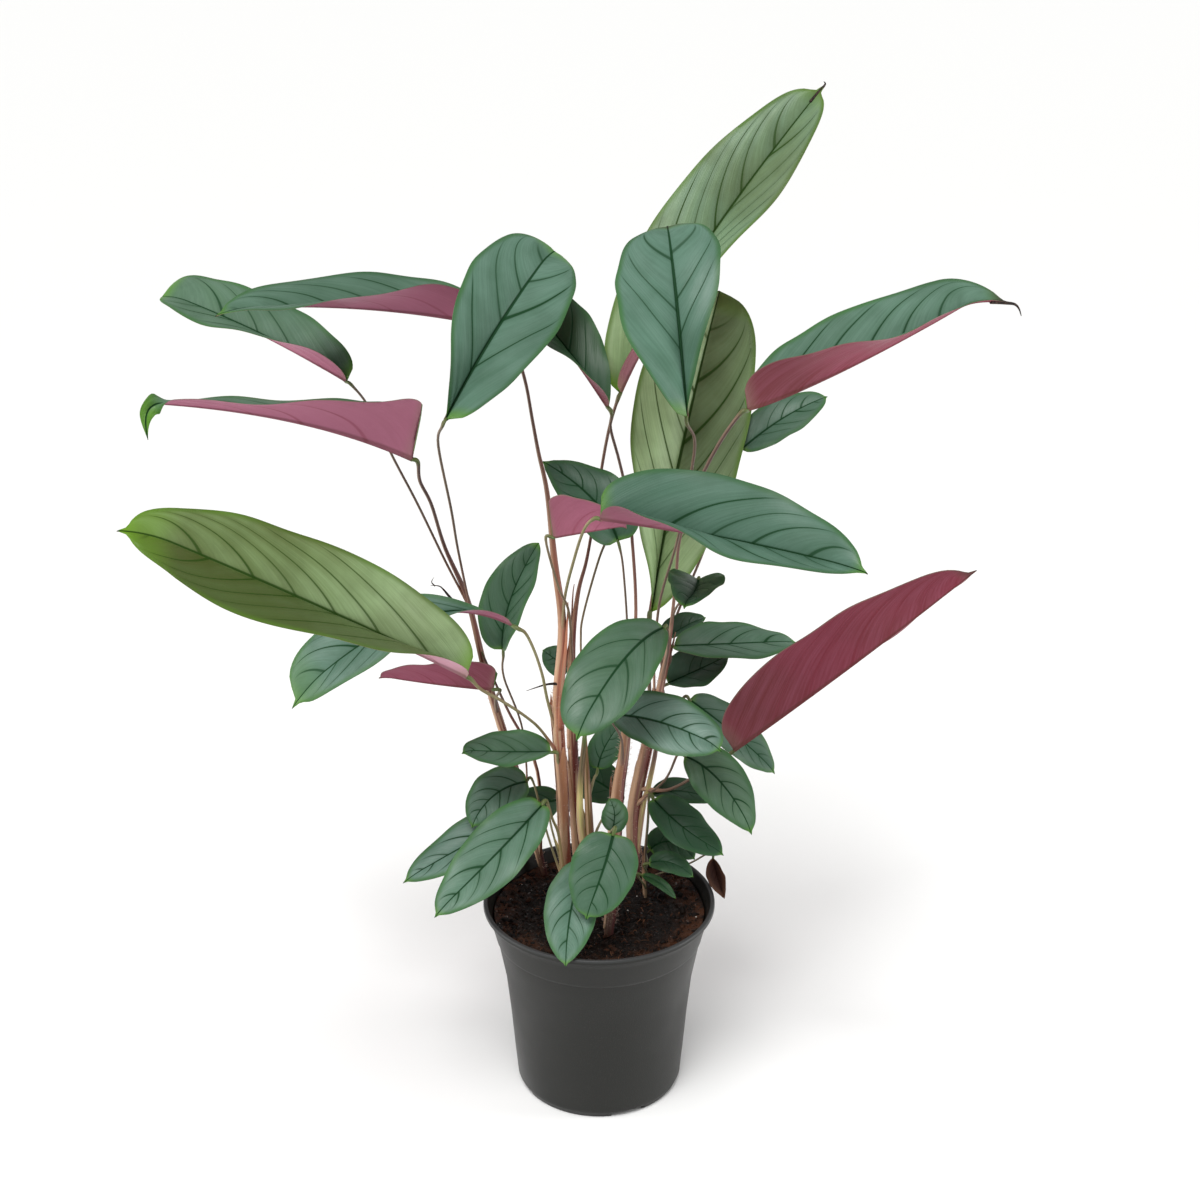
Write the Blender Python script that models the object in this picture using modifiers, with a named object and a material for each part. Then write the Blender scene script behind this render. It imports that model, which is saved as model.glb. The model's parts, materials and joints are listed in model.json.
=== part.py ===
"""A potted ctenanthe: a round nursery pot, its potting mix, nine shoots and their leaves.

Metres in the model, millimetres in the tables. +Z is up, the pot stands on z = 0 with its centre
on the Z axis, and -Y is the side that the plant shows to the viewer.
"""
import math
from collections import namedtuple

import bmesh
import bpy
import numpy as np
from mathutils import Matrix

MM = 0.001

# Pot, mm
POT_HEIGHT = 150.0
RIM_RADIUS = 85.0
RIM_DROP = 4.0
WALL = 1.6
FLOOR = 2.5
STEP_HEIGHT = 122.0
STEP_OUT = 1.0
POT_SIDES = 40
NOTCH_COUNT = 4
NOTCH_WIDTH = 25.0
NOTCH_HEIGHT = 3.6
NOTCH_DEPTH = 6.0
NOTCH_TURN = -69.0
# Height and outer radius of the wall, from the foot up to the step and from there to the rim
WALL_BELOW_STEP = ((0.0, 57.5), (1.5, 60.0), (5.0, 61.6), (30.0, 63.8), (60.0, 66.2), (90.0, 69.3))
RADIUS_AT_STEP = 75.2
RADIUS_UNDER_RIM = 81.8
INNER_HEIGHTS = (FLOOR, 10.0, 30.0, 60.0, 90.0, STEP_HEIGHT, POT_HEIGHT - 6.0)

# How far the rim's rounded lip lies inside its widest radius, and how far below its top
LIP = ((3.0, 1.0), (2.4, 0.0), (0.9, 0.0), (0.0, 1.0), (0.0, 3.2), (0.6, RIM_DROP))

# Potting mix, mm: its level, its rise to the wall, a heap at HEAP_PLACE and waves
SOIL_LEVEL = 136.0
SOIL_EDGE_RISE = 5.0
HEAP_HEIGHT = 4.0
HEAP_PLACE = (58.0, 38.0)
HEAP_SPREAD = 17.0
WAVE_HEIGHT = 1.2
WAVE_LENGTH = (9.0, 7.0)
RIPPLE_HEIGHT = 0.8
RIPPLE_LENGTH = (4.3, 5.1)
SOIL_RINGS = 7
SOIL_SIDES = 40
GAP = 0.3
SEAT_GAP = 0.5

# Shoots, mm
FOOT_DEPTH = 12.0
FOOT_STRAIGHT = 3.0
HOLE_HEADROOM = 10.0
SHEATHED = 0.18
FREE = 0.62
HOLE_SIDES = 12
PETIOLE_SIDES_EXTRA = 1
STEM_SIDES_EXTRA = 2
PULVINUS_LENGTH = 5.0
PULVINUS_SWELL = 1.35
PULVINUS_POINTS = 3
STEPS_PER_POINT = 2

# Leaf blades, mm and degrees
BLADE_THICKNESS = 0.8
BASE_HALF_WIDTH = 1.5
HALF_CURL = -25.0
FLAT_BASE = 0.06
LARGE_LEAF = 55.0
STEPS_LARGE = 10
STEPS_SMALL = 6
STEPS_ACROSS = 4

# How the half width rises from the base and falls to the tip
OVAL = (0.5, 0.62)
OBLONG = (0.5, 0.45)
OBOVATE = (0.75, 0.5)
BROAD_BASE = (0.35, 0.6)
SQUARE_BASE = (0.22, 0.5)
BLUNT_TIP = (0.4, 0.42)

PLASTIC = (0.045, 0.045, 0.044)
PEAT = (0.035, 0.02, 0.013)
GREEN = (0.07, 0.16, 0.10)
SAGE = (0.20, 0.29, 0.15)
DRY = (0.16, 0.07, 0.04)

Shoot = namedtuple("Shoot", "name radius_low radius_top color axis")
Leaf = namedtuple("Leaf", "name shoot join petiole via base mid tip width face fold outline color")

# Each shoot's axis runs from its foot in the potting mix up to the base of the leaf that ends it,
# as (x, y, z) in mm. The first point is where it enters the mix.
SHOOTS = [
    Shoot("shoot_left", 3.2, 1.2, (0.35, 0.16, 0.12), [
        (-42, 55), (-52, 62, 180), (-64, 63, 226), (-79, 66, 281), (-86, 70, 310),
        (-96, 70, 359), (-110, 60, 402), (-117, 42, 441), (-123, 28, 463)]),
    Shoot("shoot_main", 4.6, 1.2, (0.50, 0.24, 0.17), [
        (-18, 34), (-25, 33, 162), (-27, 30, 221), (-30, 27, 292), (-26, 25, 355), (-31, 28, 403),
        (-36, 38, 451), (-42, 46, 478), (-46, 52, 499), (-51, 58, 526), (-59, 61, 550)]),
    Shoot("shoot_tall", 4.4, 1.1, (0.27, 0.08, 0.07), [
        (-15, 50), (-17, 48, 188), (-19, 47, 239), (-20, 47, 288), (-19, 48, 336),
        (-15, 54, 370), (-9, 64, 391), (-4, 76, 417), (3, 84, 461), (8, 78, 489)]),
    Shoot("shoot_olive", 3.0, 0.8, (0.30, 0.22, 0.08), [
        (-5, 30), (-7, 30, 191), (-10, 32, 259), (-12, 33, 303), (-13, 34, 342),
        (-11, 36, 361), (0, 38, 402), (8, 40, 421)]),
    Shoot("shoot_front", 5.2, 1.1, (0.42, 0.18, 0.13), [
        (7, -27), (9, -20, 158), (13, 0, 231), (19, 12, 273), (26, 30, 356), (23, 42, 419),
        (20, 62, 440), (14, 60, 468), (8, 46, 495)]),
    Shoot("shoot_right", 5.0, 1.2, (0.42, 0.20, 0.18), [
        (28, 50), (26, 48, 195), (36, 46, 254), (44, 42, 299), (50, 40, 334), (54, 34, 385),
        (56, 28, 420), (64, 20, 452), (71, 12, 475), (82, 5, 500)]),
    Shoot("shoot_low_right", 1.8, 1.0, (0.25, 0.22, 0.08), [
        (35, 22), (34, 22, 169), (36, 24, 200)]),
    Shoot("shoot_low_front", 1.8, 1.0, (0.25, 0.26, 0.10), [
        (1, 15), (1, -3, 175), (3, -24, 208)]),
    Shoot("shoot_low_left", 2.2, 1.0, (0.42, 0.36, 0.14), [
        (-25, 18), (-29, 12, 192), (-34, 9, 211)]),
]

# Each leaf hangs on its shoot by a petiole that leaves the axis at the height join and passes the
# points of via. A leaf with no join ends its shoot. base, mid and tip are points of the midrib,
# face is the azimuth and elevation that the upper side looks to (azimuth 0 is -Y, 90 is +X), and
# fold is how far each half is raised from flat at the base and near the tip. Where the two halves
# differ, width is twice each half's, and fold and outline give the left half and then the right.
LEAVES = [
    Leaf("leaf_left_1", "shoot_left", 350, 0.9, [(-100, 50, 404), (-102, 26, 443), (-106, -12, 501)],
         (-99, -30, 524), (-66, 25, 573), (-30, 90, 613), 84, (30, 45),
         (55, 20, 70, 12), (0.85, 0.6, 0.7, 0.4), GREEN),
    Leaf("leaf_left_2", "shoot_left", 350, 0.9,
         [(-110, 66, 388), (-129, 64, 434), (-145, 60, 471), (-159, 54, 508)],
         (-173, 50, 527), (-240, 90, 552), (-315, 135, 571), 61, (0, 69),
         (72, 22, 45, 15), (0.6, 0.3, 0.42, 0.3), GREEN),
    Leaf("leaf_left_3", "shoot_left", None, 1.2, [],
         (-127, 20, 481), (-206, -25, 523), (-295, -65, 545), 69, (180, 66),
         (65, 3, 70, 28), (0.12, 0.75), GREEN),
    Leaf("leaf_left_4", "shoot_left", 268, 1.0, [(-76, 54, 286)],
         (-77, 44, 298), (-120, 50, 300), (-162, 60, 302), 45, (180, 55), (65, 25), SQUARE_BASE, GREEN),
    Leaf("leaf_left_5", "shoot_left", 186, 0.8, [(-56, 52, 259), (-69, 45, 307)],
         (-69, 40, 332), (-63, 45, 368), (-43, 60, 406), 42, (-30, 20), (50, 20), OVAL, GREEN),
    Leaf("leaf_main_1", "shoot_main", None, 0.9, [],
         (-74, 60, 564), (-162, 35, 582), (-248, -5, 590), 62, (0, 85), (100, 10, 65, 20), OVAL, GREEN),
    Leaf("leaf_main_2", "shoot_main", 345, 1.1, [(-24, 18, 380), (-17, 0, 416), (-10, -12, 442)],
         (1, -20, 452), (86, -75, 457), (163, -125, 456), 81, (0, 62),
         (60, 28, 85, 22), (0.35, 0.6, 0.7, 0.75), GREEN),
    Leaf("leaf_main_3", "shoot_main", 250, 1.1,
         [(-41, 18, 277), (-52, 7, 294), (-69, -6, 313), (-82, -12, 324)],
         (-92, -15, 335), (-192, -75, 414), (-290, -125, 483), 86, (0, 62),
         (80, 16, 50, 18), (0.8, 0.5, 0.28, 0.5), SAGE),
    Leaf("leaf_main_4", "shoot_main", 262, 1.1,
         [(-37, 22, 300), (-40, 15, 322), (-45, 11, 342), (-51, 9, 357)],
         (-60, 9, 363), (-137, 50, 350), (-232, 85, 269), 70, (0, 42), (100, 8, 50, 3), OBLONG, GREEN),
    Leaf("leaf_main_5", "shoot_main", 238, 0.9, [(-30, 25, 251)],
         (-35, 20, 259), (-67, 5, 267), (-97, -10, 276), 36, (0, 68), (50, 0), OVAL, GREEN),
    Leaf("leaf_tall_1", "shoot_tall", None, 1.2, [],
         (15, 68, 514), (71, 120, 601), (160, 170, 711), 79, (-30, 20), (50, 22, 90, 22), OBLONG, SAGE),
    Leaf("leaf_tall_2", "shoot_tall", 316, 0.9, [(-21, 22, 367), (-25, 5, 394)],
         (-24, -10, 435), (-3, 2, 436), (19, 24, 432), 56, (180, 40), (60, 30), (0.12, 0.85), GREEN),
    Leaf("leaf_tall_3", "shoot_tall", 298, 0.8, [(-20, 51, 306)],
         (-22, 54, 311), (-31, 52, 318), (-41, 50, 327), 22, (0, 40), (10, 0), OVAL, GREEN),
    Leaf("leaf_tall_4", "shoot_tall", 165, 0.9, [(-23, 51, 190)],
         (-30, 46, 206), (-50, 39, 204), (-69, 34, 190), 28, (0, 25), (10, 0), OVAL, GREEN),
    Leaf("leaf_olive_1", "shoot_olive", 214, 0.8, [(-4, 37, 228)],
         (-1, 40, 236), (5, 42, 254), (17, 50, 269), 24, (0, 20), (10, 0), OVAL, GREEN),
    Leaf("leaf_olive_2", "shoot_olive", 173, 0.9, [(2, 45, 190)],
         (14, 60, 203), (-7, 62, 217), (-28, 65, 223), 34, (0, 40), (10, 0), OVAL, GREEN),
    Leaf("leaf_front_1", "shoot_front", None, 0.9, [],
         (6, 36, 513), (-22, 60, 542), (-52, 90, 569), 56, (35, 55),
         (70, 20, 50, 25), (0.5, 0.62, 0.85, 0.6), GREEN),
    Leaf("leaf_front_2", "shoot_front", 300, 0.8, [(20, 32, 355), (17, 36, 396)],
         (13, 37, 416), (-5, 46, 444), (-40, 66, 465), 50, (0, 50), (40, 5), (0.45, 0.8), GREEN),
    Leaf("leaf_front_3", "shoot_front", 250, 0.9, [(16, 0, 279)],
         (11, -10, 303), (45, -25, 304), (84, -45, 295), 44, (0, 50), (30, 0), OBLONG, GREEN),
    Leaf("leaf_right_1", "shoot_right", None, 1.0, [],
         (98, 0, 521), (181, 40, 546), (280, 95, 585), 78, (0, 78),
         (50, 25, 98, 38), (0.55, 0.5, 0.35, 0.9), GREEN),
    Leaf("leaf_right_2", "shoot_right", 280, 1.0,
         [(40, 42, 319), (43, 37, 369), (54, 18, 423), (62, 0, 480), (63, -12, 505)],
         (57, -20, 523), (51, 20, 590), (46, 70, 632), (84, 64), (-10, 55),
         (70, 4, 50, 4), (0.42, 0.4, 0.6, 0.4), GREEN),
    Leaf("leaf_right_3", "shoot_right", 265, 1.4, [(36, 49, 318)],
         (37, 52, 356), (57, 105, 447), (88, 158, 566), 89, (5, 15),
         (85, 8, 50, 8), (0.75, 0.4, 0.55, 0.35), SAGE),
    Leaf("leaf_right_4", "shoot_right", 348, 0.8, [(54, 30, 367), (62, 10, 388)],
         (68, 0, 401), (64, -30, 404), (56, -55, 406), 44, (0, 70), (30, 30), BLUNT_TIP, GREEN),
    Leaf("leaf_right_5", "shoot_right", 310, 0.8, [(45, 52, 318)],
         (45, 60, 326), (61, 62, 339), (78, 65, 346), 24, (0, 72), (60, 15), OVAL, GREEN),
    Leaf("leaf_right_6", "shoot_right", 310, 0.9, [(52, 46, 322)],
         (54, 42, 333), (98, 38, 337), (144, 50, 334), 44, (0, 75), (25, 3), OVAL, GREEN),
    Leaf("leaf_right_7", "shoot_right", 278, 0.9, [(47, 52, 289)],
         (51, 54, 298), (72, 54, 309), (95, 52, 322), 38, (0, 60), (55, 5), OVAL, GREEN),
    Leaf("leaf_right_8", "shoot_right", 305, 1.0, [(49, 25, 338)],
         (45, 5, 363), (16, -45, 360), (-15, -90, 327), 55, (-5, 45), (30, 0), OBLONG, GREEN),
    Leaf("leaf_right_9", "shoot_right", 215, 1.1, [(50, 38, 219), (70, 27, 236)],
         (97, 9, 266), (169, -40, 353), (240, -85, 441), 85, (180, 50), (45, 32), SQUARE_BASE, GREEN),
    Leaf("leaf_right_10", "shoot_right", 256, 0.9, [(54, 58, 271)],
         (67, 60, 282), (101, 62, 253), (132, 60, 223), 36, (0, 60), (15, 5), OVAL, GREEN),
    Leaf("leaf_right_11", "shoot_right", 200, 0.9, [(48, 25, 234)],
         (61, 0, 266), (86, -10, 251), (108, -30, 222), 38, (0, 45), (30, 0), OVAL, GREEN),
    Leaf("leaf_right_12", "shoot_right", 180, 0.8, [(32, 50, 196)],
         (40, 50, 208), (63, 45, 214), (85, 40, 208), 24, (0, 70), (40, 0), OVAL, GREEN),
    Leaf("leaf_right_13", "shoot_right", 262, 1.0, [(51, 75, 324), (75, 105, 376), (91, 112, 420)],
         (104, 110, 460), (135, 120, 481), (167, 130, 494), 36, (0, 60), (15, 5), OVAL, GREEN),
    Leaf("leaf_low_right_1", "shoot_low_right", None, 0.9, [],
         (40, 25, 218), (62, 5, 205), (90, -10, 193), 36, (-10, 74), (30, 0), OVAL, GREEN),
    Leaf("leaf_low_right_2", "shoot_low_right", 158, 0.8, [(36, 25, 166)],
         (38, 27, 175), (54, 24, 183), (71, 19, 171), 26, (0, 40), (20, 0), OVAL, GREEN),
    Leaf("leaf_low_right_3", "shoot_low_right", 150, 0.8, [(35, 16, 162)],
         (37, 7, 175), (53, 2, 178), (69, -3, 169), 18, (0, 60), (20, 0), OVAL, GREEN),
    Leaf("leaf_low_right_4", "shoot_low_right", 144, 0.7, [(33, 16, 152)],
         (32, 10, 163), (45, 0, 162), (56, -10, 155), 8, (0, 50), (20, 0), OVAL, GREEN),
    Leaf("leaf_low_right_5", "shoot_low_right", 152, 0.7, [(49, 24, 158), (68, 28, 163)],
         (85, 30, 166), (89, 26, 151), (94, 22, 136), 10, (-20, 30), (75, 50), (0.6, 1.0), DRY),
    Leaf("leaf_low_front_1", "shoot_low_front", None, 0.9, [],
         (10, -38, 224), (3, -52, 204), (-9, -68, 176), 46, (5, 45), (10, 0), BLUNT_TIP, GREEN),
    Leaf("leaf_low_front_2", "shoot_low_front", 188, 0.7, [(6, -18, 204)],
         (9, -20, 217), (11, -20, 231), (7, -20, 243), 20, (0, 20), (30, 10), OVAL, GREEN),
    Leaf("leaf_low_front_3", "shoot_low_front", 148, 0.8, [(-5, -12, 168)],
         (-11, -30, 197), (-20, -55, 171), (-23, -90, 151), 38, (0, 45), (20, 0), OVAL, GREEN),
    Leaf("leaf_low_left_1", "shoot_low_left", None, 1.0, [],
         (-41, 5, 224), (-74, -35, 205), (-114, -75, 181), 46, (0, 50), (40, 3), OVAL, GREEN),
    Leaf("leaf_low_left_2", "shoot_low_left", 165, 0.8, [(-35, 22, 196)],
         (-43, 25, 214), (-88, 5, 197), (-142, -15, 173), 38, (0, 55), (25, 3), OVAL, GREEN),
    Leaf("leaf_low_left_3", "shoot_low_left", 151, 0.8, [(-38, 24, 189)],
         (-53, 30, 230), (-76, 15, 227), (-92, 0, 210), 36, (0, 45), (20, 0), OVAL, GREEN),
]

# Stems that leave a shoot and join it again higher up, as its sheaths and twin stems do
TWIN_STEMS = [
    ("shoot_left", 1.5, [(-46, 57, 150), (-46, 50, 229), (-68, 50, 281), (-84, 54, 321)]),
    ("shoot_olive", 1.8, [(-5, 30, 150), (-13, 27, 190), (-14, 28, 225), (-11, 33, 267)]),
]


def clear_scene():
    """Removes what a new file holds."""
    for item in list(bpy.data.objects):
        bpy.data.objects.remove(item, do_unlink=True)


def collection(name):
    """A new collection in the scene."""
    made = bpy.data.collections.new(name)
    bpy.context.scene.collection.children.link(made)
    return made


def material(name, color, roughness):
    """A plain Principled material."""
    made = bpy.data.materials.new(name)
    made.use_nodes = True
    shader = made.node_tree.nodes["Principled BSDF"]
    shader.inputs["Base Color"].default_value = (*color, 1.0)
    shader.inputs["Roughness"].default_value = roughness
    shader.inputs["Metallic"].default_value = 0.0
    made.diffuse_color = (*color, 1.0)
    return made


def add_object(name, mesh, group, color=None, roughness=0.5):
    """Puts a mesh in a collection as an object with a material of its own."""
    item = bpy.data.objects.new(name, mesh)
    group.objects.link(item)
    if color is not None:
        mesh.materials.clear()
        mesh.materials.append(material(name + "_finish", color, roughness))
    return item


def evaluated_mesh(item):
    """The mesh that an object's modifiers or curve give, in world space."""
    bpy.context.view_layer.update()
    graph = bpy.context.evaluated_depsgraph_get()
    mesh = bpy.data.meshes.new_from_object(item.evaluated_get(graph))
    mesh.transform(item.matrix_world)
    return mesh


def cutter_box(name, size, place, turn, group):
    """A box that cuts, turned about Z."""
    shape = bmesh.new()
    bmesh.ops.create_cube(shape, size=1.0, matrix=Matrix.Diagonal((*size, 1.0)))
    mesh = bpy.data.meshes.new(name)
    shape.to_mesh(mesh)
    shape.free()
    box = add_object(name, mesh, group)
    box.location = place
    box.rotation_euler = (0.0, 0.0, turn)
    hide_cutter(box)
    return box


def hide_cutter(item):
    """Keeps a cutter out of the picture."""
    item.hide_render = True
    item.display_type = "WIRE"


def turned(name, profile, sides, group):
    """A solid turned from a profile of (radius, height) in mm, outer side from top to bottom."""
    mesh = bpy.data.meshes.new(name)
    points = [(radius * MM, 0.0, height * MM) for radius, height in profile]
    mesh.from_pydata(points, [(k, k + 1) for k in range(len(points) - 1)], [])
    item = add_object(name, mesh, group)
    screw = item.modifiers.new("Turn", "SCREW")
    screw.axis = "Z"
    screw.steps = sides
    screw.render_steps = sides
    screw.use_merge_vertices = True
    screw.merge_threshold = 0.00001
    screw.use_smooth_shade = True
    return item


def wall_radius(height):
    """Outer radius of the pot's wall at a height, with the step below the rim."""
    profile = WALL_BELOW_STEP + ((STEP_HEIGHT, RADIUS_AT_STEP),)
    if height > STEP_HEIGHT:
        profile = (
            (STEP_HEIGHT + STEP_OUT, RADIUS_AT_STEP + STEP_OUT),
            (POT_HEIGHT - RIM_DROP, RADIUS_UNDER_RIM),
        )
    heights, radii = zip(*profile)
    return float(np.interp(height, heights, radii))


def inner_radius(height):
    """Inner radius of the pot at a height, straight from one inner ring to the next."""
    radii = [wall_radius(level) - WALL for level in INNER_HEIGHTS]
    return float(np.interp(height, INNER_HEIGHTS, radii))


def build_pot(parts, cutters):
    """The pot: floor, flared wall with a step and a rolled rim, and drain notches at its foot."""
    inside = [(0.0, FLOOR)] + [(inner_radius(height), height) for height in INNER_HEIGHTS]
    rim = [(RIM_RADIUS - inset, POT_HEIGHT - drop) for inset, drop in LIP]
    below_step = [height for height, radius in reversed(WALL_BELOW_STEP)]
    outer_heights = [POT_HEIGHT - RIM_DROP, STEP_HEIGHT + STEP_OUT, STEP_HEIGHT] + below_step
    outside = [(wall_radius(height), height) for height in outer_heights]
    pot = turned("pot", inside + rim + outside + [(0.0, 0.0)], POT_SIDES, parts)
    pot.data.materials.append(material("pot_finish", PLASTIC, 0.5))

    for index in range(NOTCH_COUNT):
        turn = math.radians(NOTCH_TURN + index * 360.0 / NOTCH_COUNT)
        reach = wall_radius(NOTCH_HEIGHT) * MM
        place = (reach * math.cos(turn), reach * math.sin(turn), 0.0)
        size = (2.0 * NOTCH_DEPTH * MM, NOTCH_WIDTH * MM, 2.0 * NOTCH_HEIGHT * MM)
        cut = pot.modifiers.new("Notch", "BOOLEAN")
        cut.operation = "DIFFERENCE"
        cut.object = cutter_box(f"notch_{index}", size, place, turn, cutters)
    return pot


def soil_height(x, y):
    """Height of the potting mix in mm: higher at the wall, with waves and a heap on the right."""
    reach = math.hypot(x, y) / inner_radius(SOIL_LEVEL)
    heap = HEAP_HEIGHT * math.exp(-(math.dist((x, y), HEAP_PLACE) / HEAP_SPREAD) ** 2)
    wave = WAVE_HEIGHT * math.sin(x / WAVE_LENGTH[0]) * math.cos(y / WAVE_LENGTH[1])
    ripple = RIPPLE_HEIGHT * math.sin(x / RIPPLE_LENGTH[0] - y / RIPPLE_LENGTH[1])
    return SOIL_LEVEL + SOIL_EDGE_RISE * reach ** 6 + heap + (wave + ripple) * (1.0 - reach ** 4)


def build_soil(parts, cutters):
    """The potting mix: it fills the pot, and has a plain hole for the foot of each shoot."""
    below = [height for height in reversed(INNER_HEIGHTS) if FLOOR < height < SOIL_LEVEL]
    fit = [(inner_radius(height) - GAP, height) for height in [SOIL_LEVEL] + below]
    rings = [(fit[0][0] * index / SOIL_RINGS, SOIL_LEVEL) for index in range(SOIL_RINGS)]
    underside = [(inner_radius(FLOOR + GAP) - GAP, FLOOR + GAP), (0.0, FLOOR + GAP)]
    guide = turned("soil_guide", rings + fit + underside, SOIL_SIDES, parts)
    mesh = evaluated_mesh(guide)
    bpy.data.objects.remove(guide)
    for vertex in mesh.vertices:
        if vertex.co.z > (SOIL_LEVEL - 1.0) * MM:
            vertex.co.z = soil_height(vertex.co.x / MM, vertex.co.y / MM) * MM
    soil = add_object("soil", mesh, parts, PEAT, 0.95)

    for shoot in SHOOTS:
        x, y = shoot.axis[0]
        radius = (shoot.radius_low + 2.0 * GAP) / math.cos(math.pi / HOLE_SIDES) * MM
        bottom = foot_height(shoot) - GAP
        top = POT_HEIGHT + HOLE_HEADROOM
        shape = bmesh.new()
        bmesh.ops.create_cone(shape, cap_ends=True, segments=HOLE_SIDES, radius1=radius, radius2=radius,
                              depth=(top - bottom) * MM)
        hole = bpy.data.meshes.new("hole")
        shape.to_mesh(hole)
        shape.free()
        cutter = add_object("hole_" + shoot.name, hole, cutters)
        cutter.location = (x * MM, y * MM, (top + bottom) / 2.0 * MM)
        hide_cutter(cutter)
        cut = soil.modifiers.new("Hole", "BOOLEAN")
        cut.operation = "DIFFERENCE"
        cut.object = cutter
    return soil


def foot_height(shoot):
    """Height of the buried end of a shoot, mm."""
    return soil_height(*shoot.axis[0]) - FOOT_DEPTH


def unit(vectors):
    """Vectors scaled to length 1."""
    return vectors / np.linalg.norm(vectors, axis=-1, keepdims=True)


def midrib(leaf, s):
    """Points of the midrib at s from 0 at the base to 1 at the tip, and its unit tangents."""
    base, mid, tip = (np.array(point, float) for point in (leaf.base, leaf.mid, leaf.tip))
    handle = 2.0 * mid - (base + tip) / 2.0
    s = s[:, None]
    points = (1 - s) ** 2 * base + 2 * s * (1 - s) * handle + s ** 2 * tip
    slopes = 2 * (1 - s) * (handle - base) + 2 * s * (tip - handle)
    return points, unit(slopes)


def by_half(pair, u):
    """Two numbers of a blade at u, from a pair for both halves or from one pair for each half."""
    return (np.where(u > 0, pair[k - 2], pair[k])[None, :] for k in (0, 1))


def half_width(leaf, s, u):
    """The width of the half that u is on, at s, mm."""
    rise, fall = by_half(leaf.outline, u)
    widest = rise / (rise + fall)
    s = s[:, None]
    shape = (s / widest) ** rise * (np.clip(1 - s, 0, 1) / (1 - widest)) ** fall
    left, right = np.broadcast_to(leaf.width, 2) / 2.0
    return np.maximum(np.where(u > 0, right, left) * shape, BASE_HALF_WIDTH)


def blade_points(leaf, s, u):
    """Points of the blade at s along it and u across it, from -1 to 1.

    The blade is folded along its midrib towards its upper side, more at the base than at the tip,
    and each half curls back a little towards its margin.
    """
    azimuth, elevation = np.radians(leaf.face)
    looks = np.array([math.sin(azimuth) * math.cos(elevation),
                      -math.cos(azimuth) * math.cos(elevation),
                      math.sin(elevation)])
    rib, along = midrib(leaf, s)
    upper = unit(looks - (along @ looks)[:, None] * along)
    side = np.cross(along, upper)
    fold_base, fold_tip = by_half(np.radians(leaf.fold), u)
    fold = fold_tip + (fold_base - fold_tip) * (1 - s[:, None]) ** 2
    fold = fold * np.clip(s / FLAT_BASE, 0, 1)[:, None]
    curl = math.radians(HALF_CURL)
    reach = np.abs(u)[None, :]
    angle = fold - curl / 2 + curl * reach / 2
    width = half_width(leaf, s, u)
    across = side[:, None, :] * (u * width * np.cos(angle))[:, :, None]
    raised = upper[:, None, :] * (reach * width * np.sin(angle))[:, :, None]
    return rib[:, None, :] + across + raised


def build_blade(leaf, parts):
    """A leaf blade: a grid bent by blade_points, split into triangles and given its thickness."""
    large = np.mean(leaf.width) >= LARGE_LEAF
    steps_along = STEPS_LARGE if large else STEPS_SMALL
    s = np.linspace(0.0, 1.0, steps_along + 1)
    u = np.linspace(-1.0, 1.0, STEPS_ACROSS + 1)
    places = blade_points(leaf, s, u) * MM
    shape = bmesh.new()
    bmesh.ops.create_grid(shape, x_segments=steps_along, y_segments=STEPS_ACROSS, size=1.0)
    for vertex in shape.verts:
        row = round((vertex.co.x + 1.0) / 2.0 * steps_along)
        column = round((vertex.co.y + 1.0) / 2.0 * STEPS_ACROSS)
        vertex.co = places[row, column]
    bmesh.ops.triangulate(shape, faces=shape.faces, quad_method="FIXED")
    mesh = bpy.data.meshes.new(leaf.name)
    shape.to_mesh(mesh)
    shape.free()
    blade = add_object(leaf.name, mesh, parts, leaf.color, 0.45)
    thick = blade.modifiers.new("Thickness", "SOLIDIFY")
    thick.thickness = BLADE_THICKNESS * MM
    thick.offset = 0.0
    return blade


def smooth_path(points, steps):
    """A smooth curve through the points, with that many steps from each point to the next."""
    points = np.array(points, float)
    padded = np.vstack([2 * points[0] - points[1], points, 2 * points[-1] - points[-2]])
    pieces = []
    for k in range(1, len(padded) - 2):
        before, start, end, after = padded[k - 1:k + 3]
        for t in np.arange(steps) / steps:
            pieces.append(0.5 * (2 * start + (end - before) * t
                                 + (2 * before - 5 * start + 4 * end - after) * t ** 2
                                 + (3 * start - before - 3 * end + after) * t ** 3))
    return np.vstack(pieces + [points[-1]])


def tube(name, points, radii, sides_extra, group):
    """A round stem along the points, in mm, as a closed mesh."""
    curve = bpy.data.curves.new(name, "CURVE")
    curve.dimensions = "3D"
    curve.bevel_depth = MM
    curve.bevel_resolution = sides_extra
    curve.use_fill_caps = True
    spline = curve.splines.new("POLY")
    spline.points.add(len(points) - 1)
    for point, place, radius in zip(spline.points, points, radii):
        point.co = (*(place * MM), 1.0)
        point.radius = radius
    guide = bpy.data.objects.new(name, curve)
    group.objects.link(guide)
    mesh = evaluated_mesh(guide)
    bpy.data.objects.remove(guide)
    bpy.data.curves.remove(curve)
    shape = bmesh.new()
    shape.from_mesh(mesh)
    bmesh.ops.remove_doubles(shape, verts=shape.verts, dist=0.01 * MM)
    shape.to_mesh(mesh)
    shape.free()
    return add_object(name, mesh, group)


def leaf_seat(leaf):
    """The last points of a petiole: its swollen joint, in line with the midrib, mm."""
    rib, along = midrib(leaf, np.array([0.0]))
    return [rib[0] - PULVINUS_LENGTH * along[0], rib[0] - SEAT_GAP * along[0]]


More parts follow.
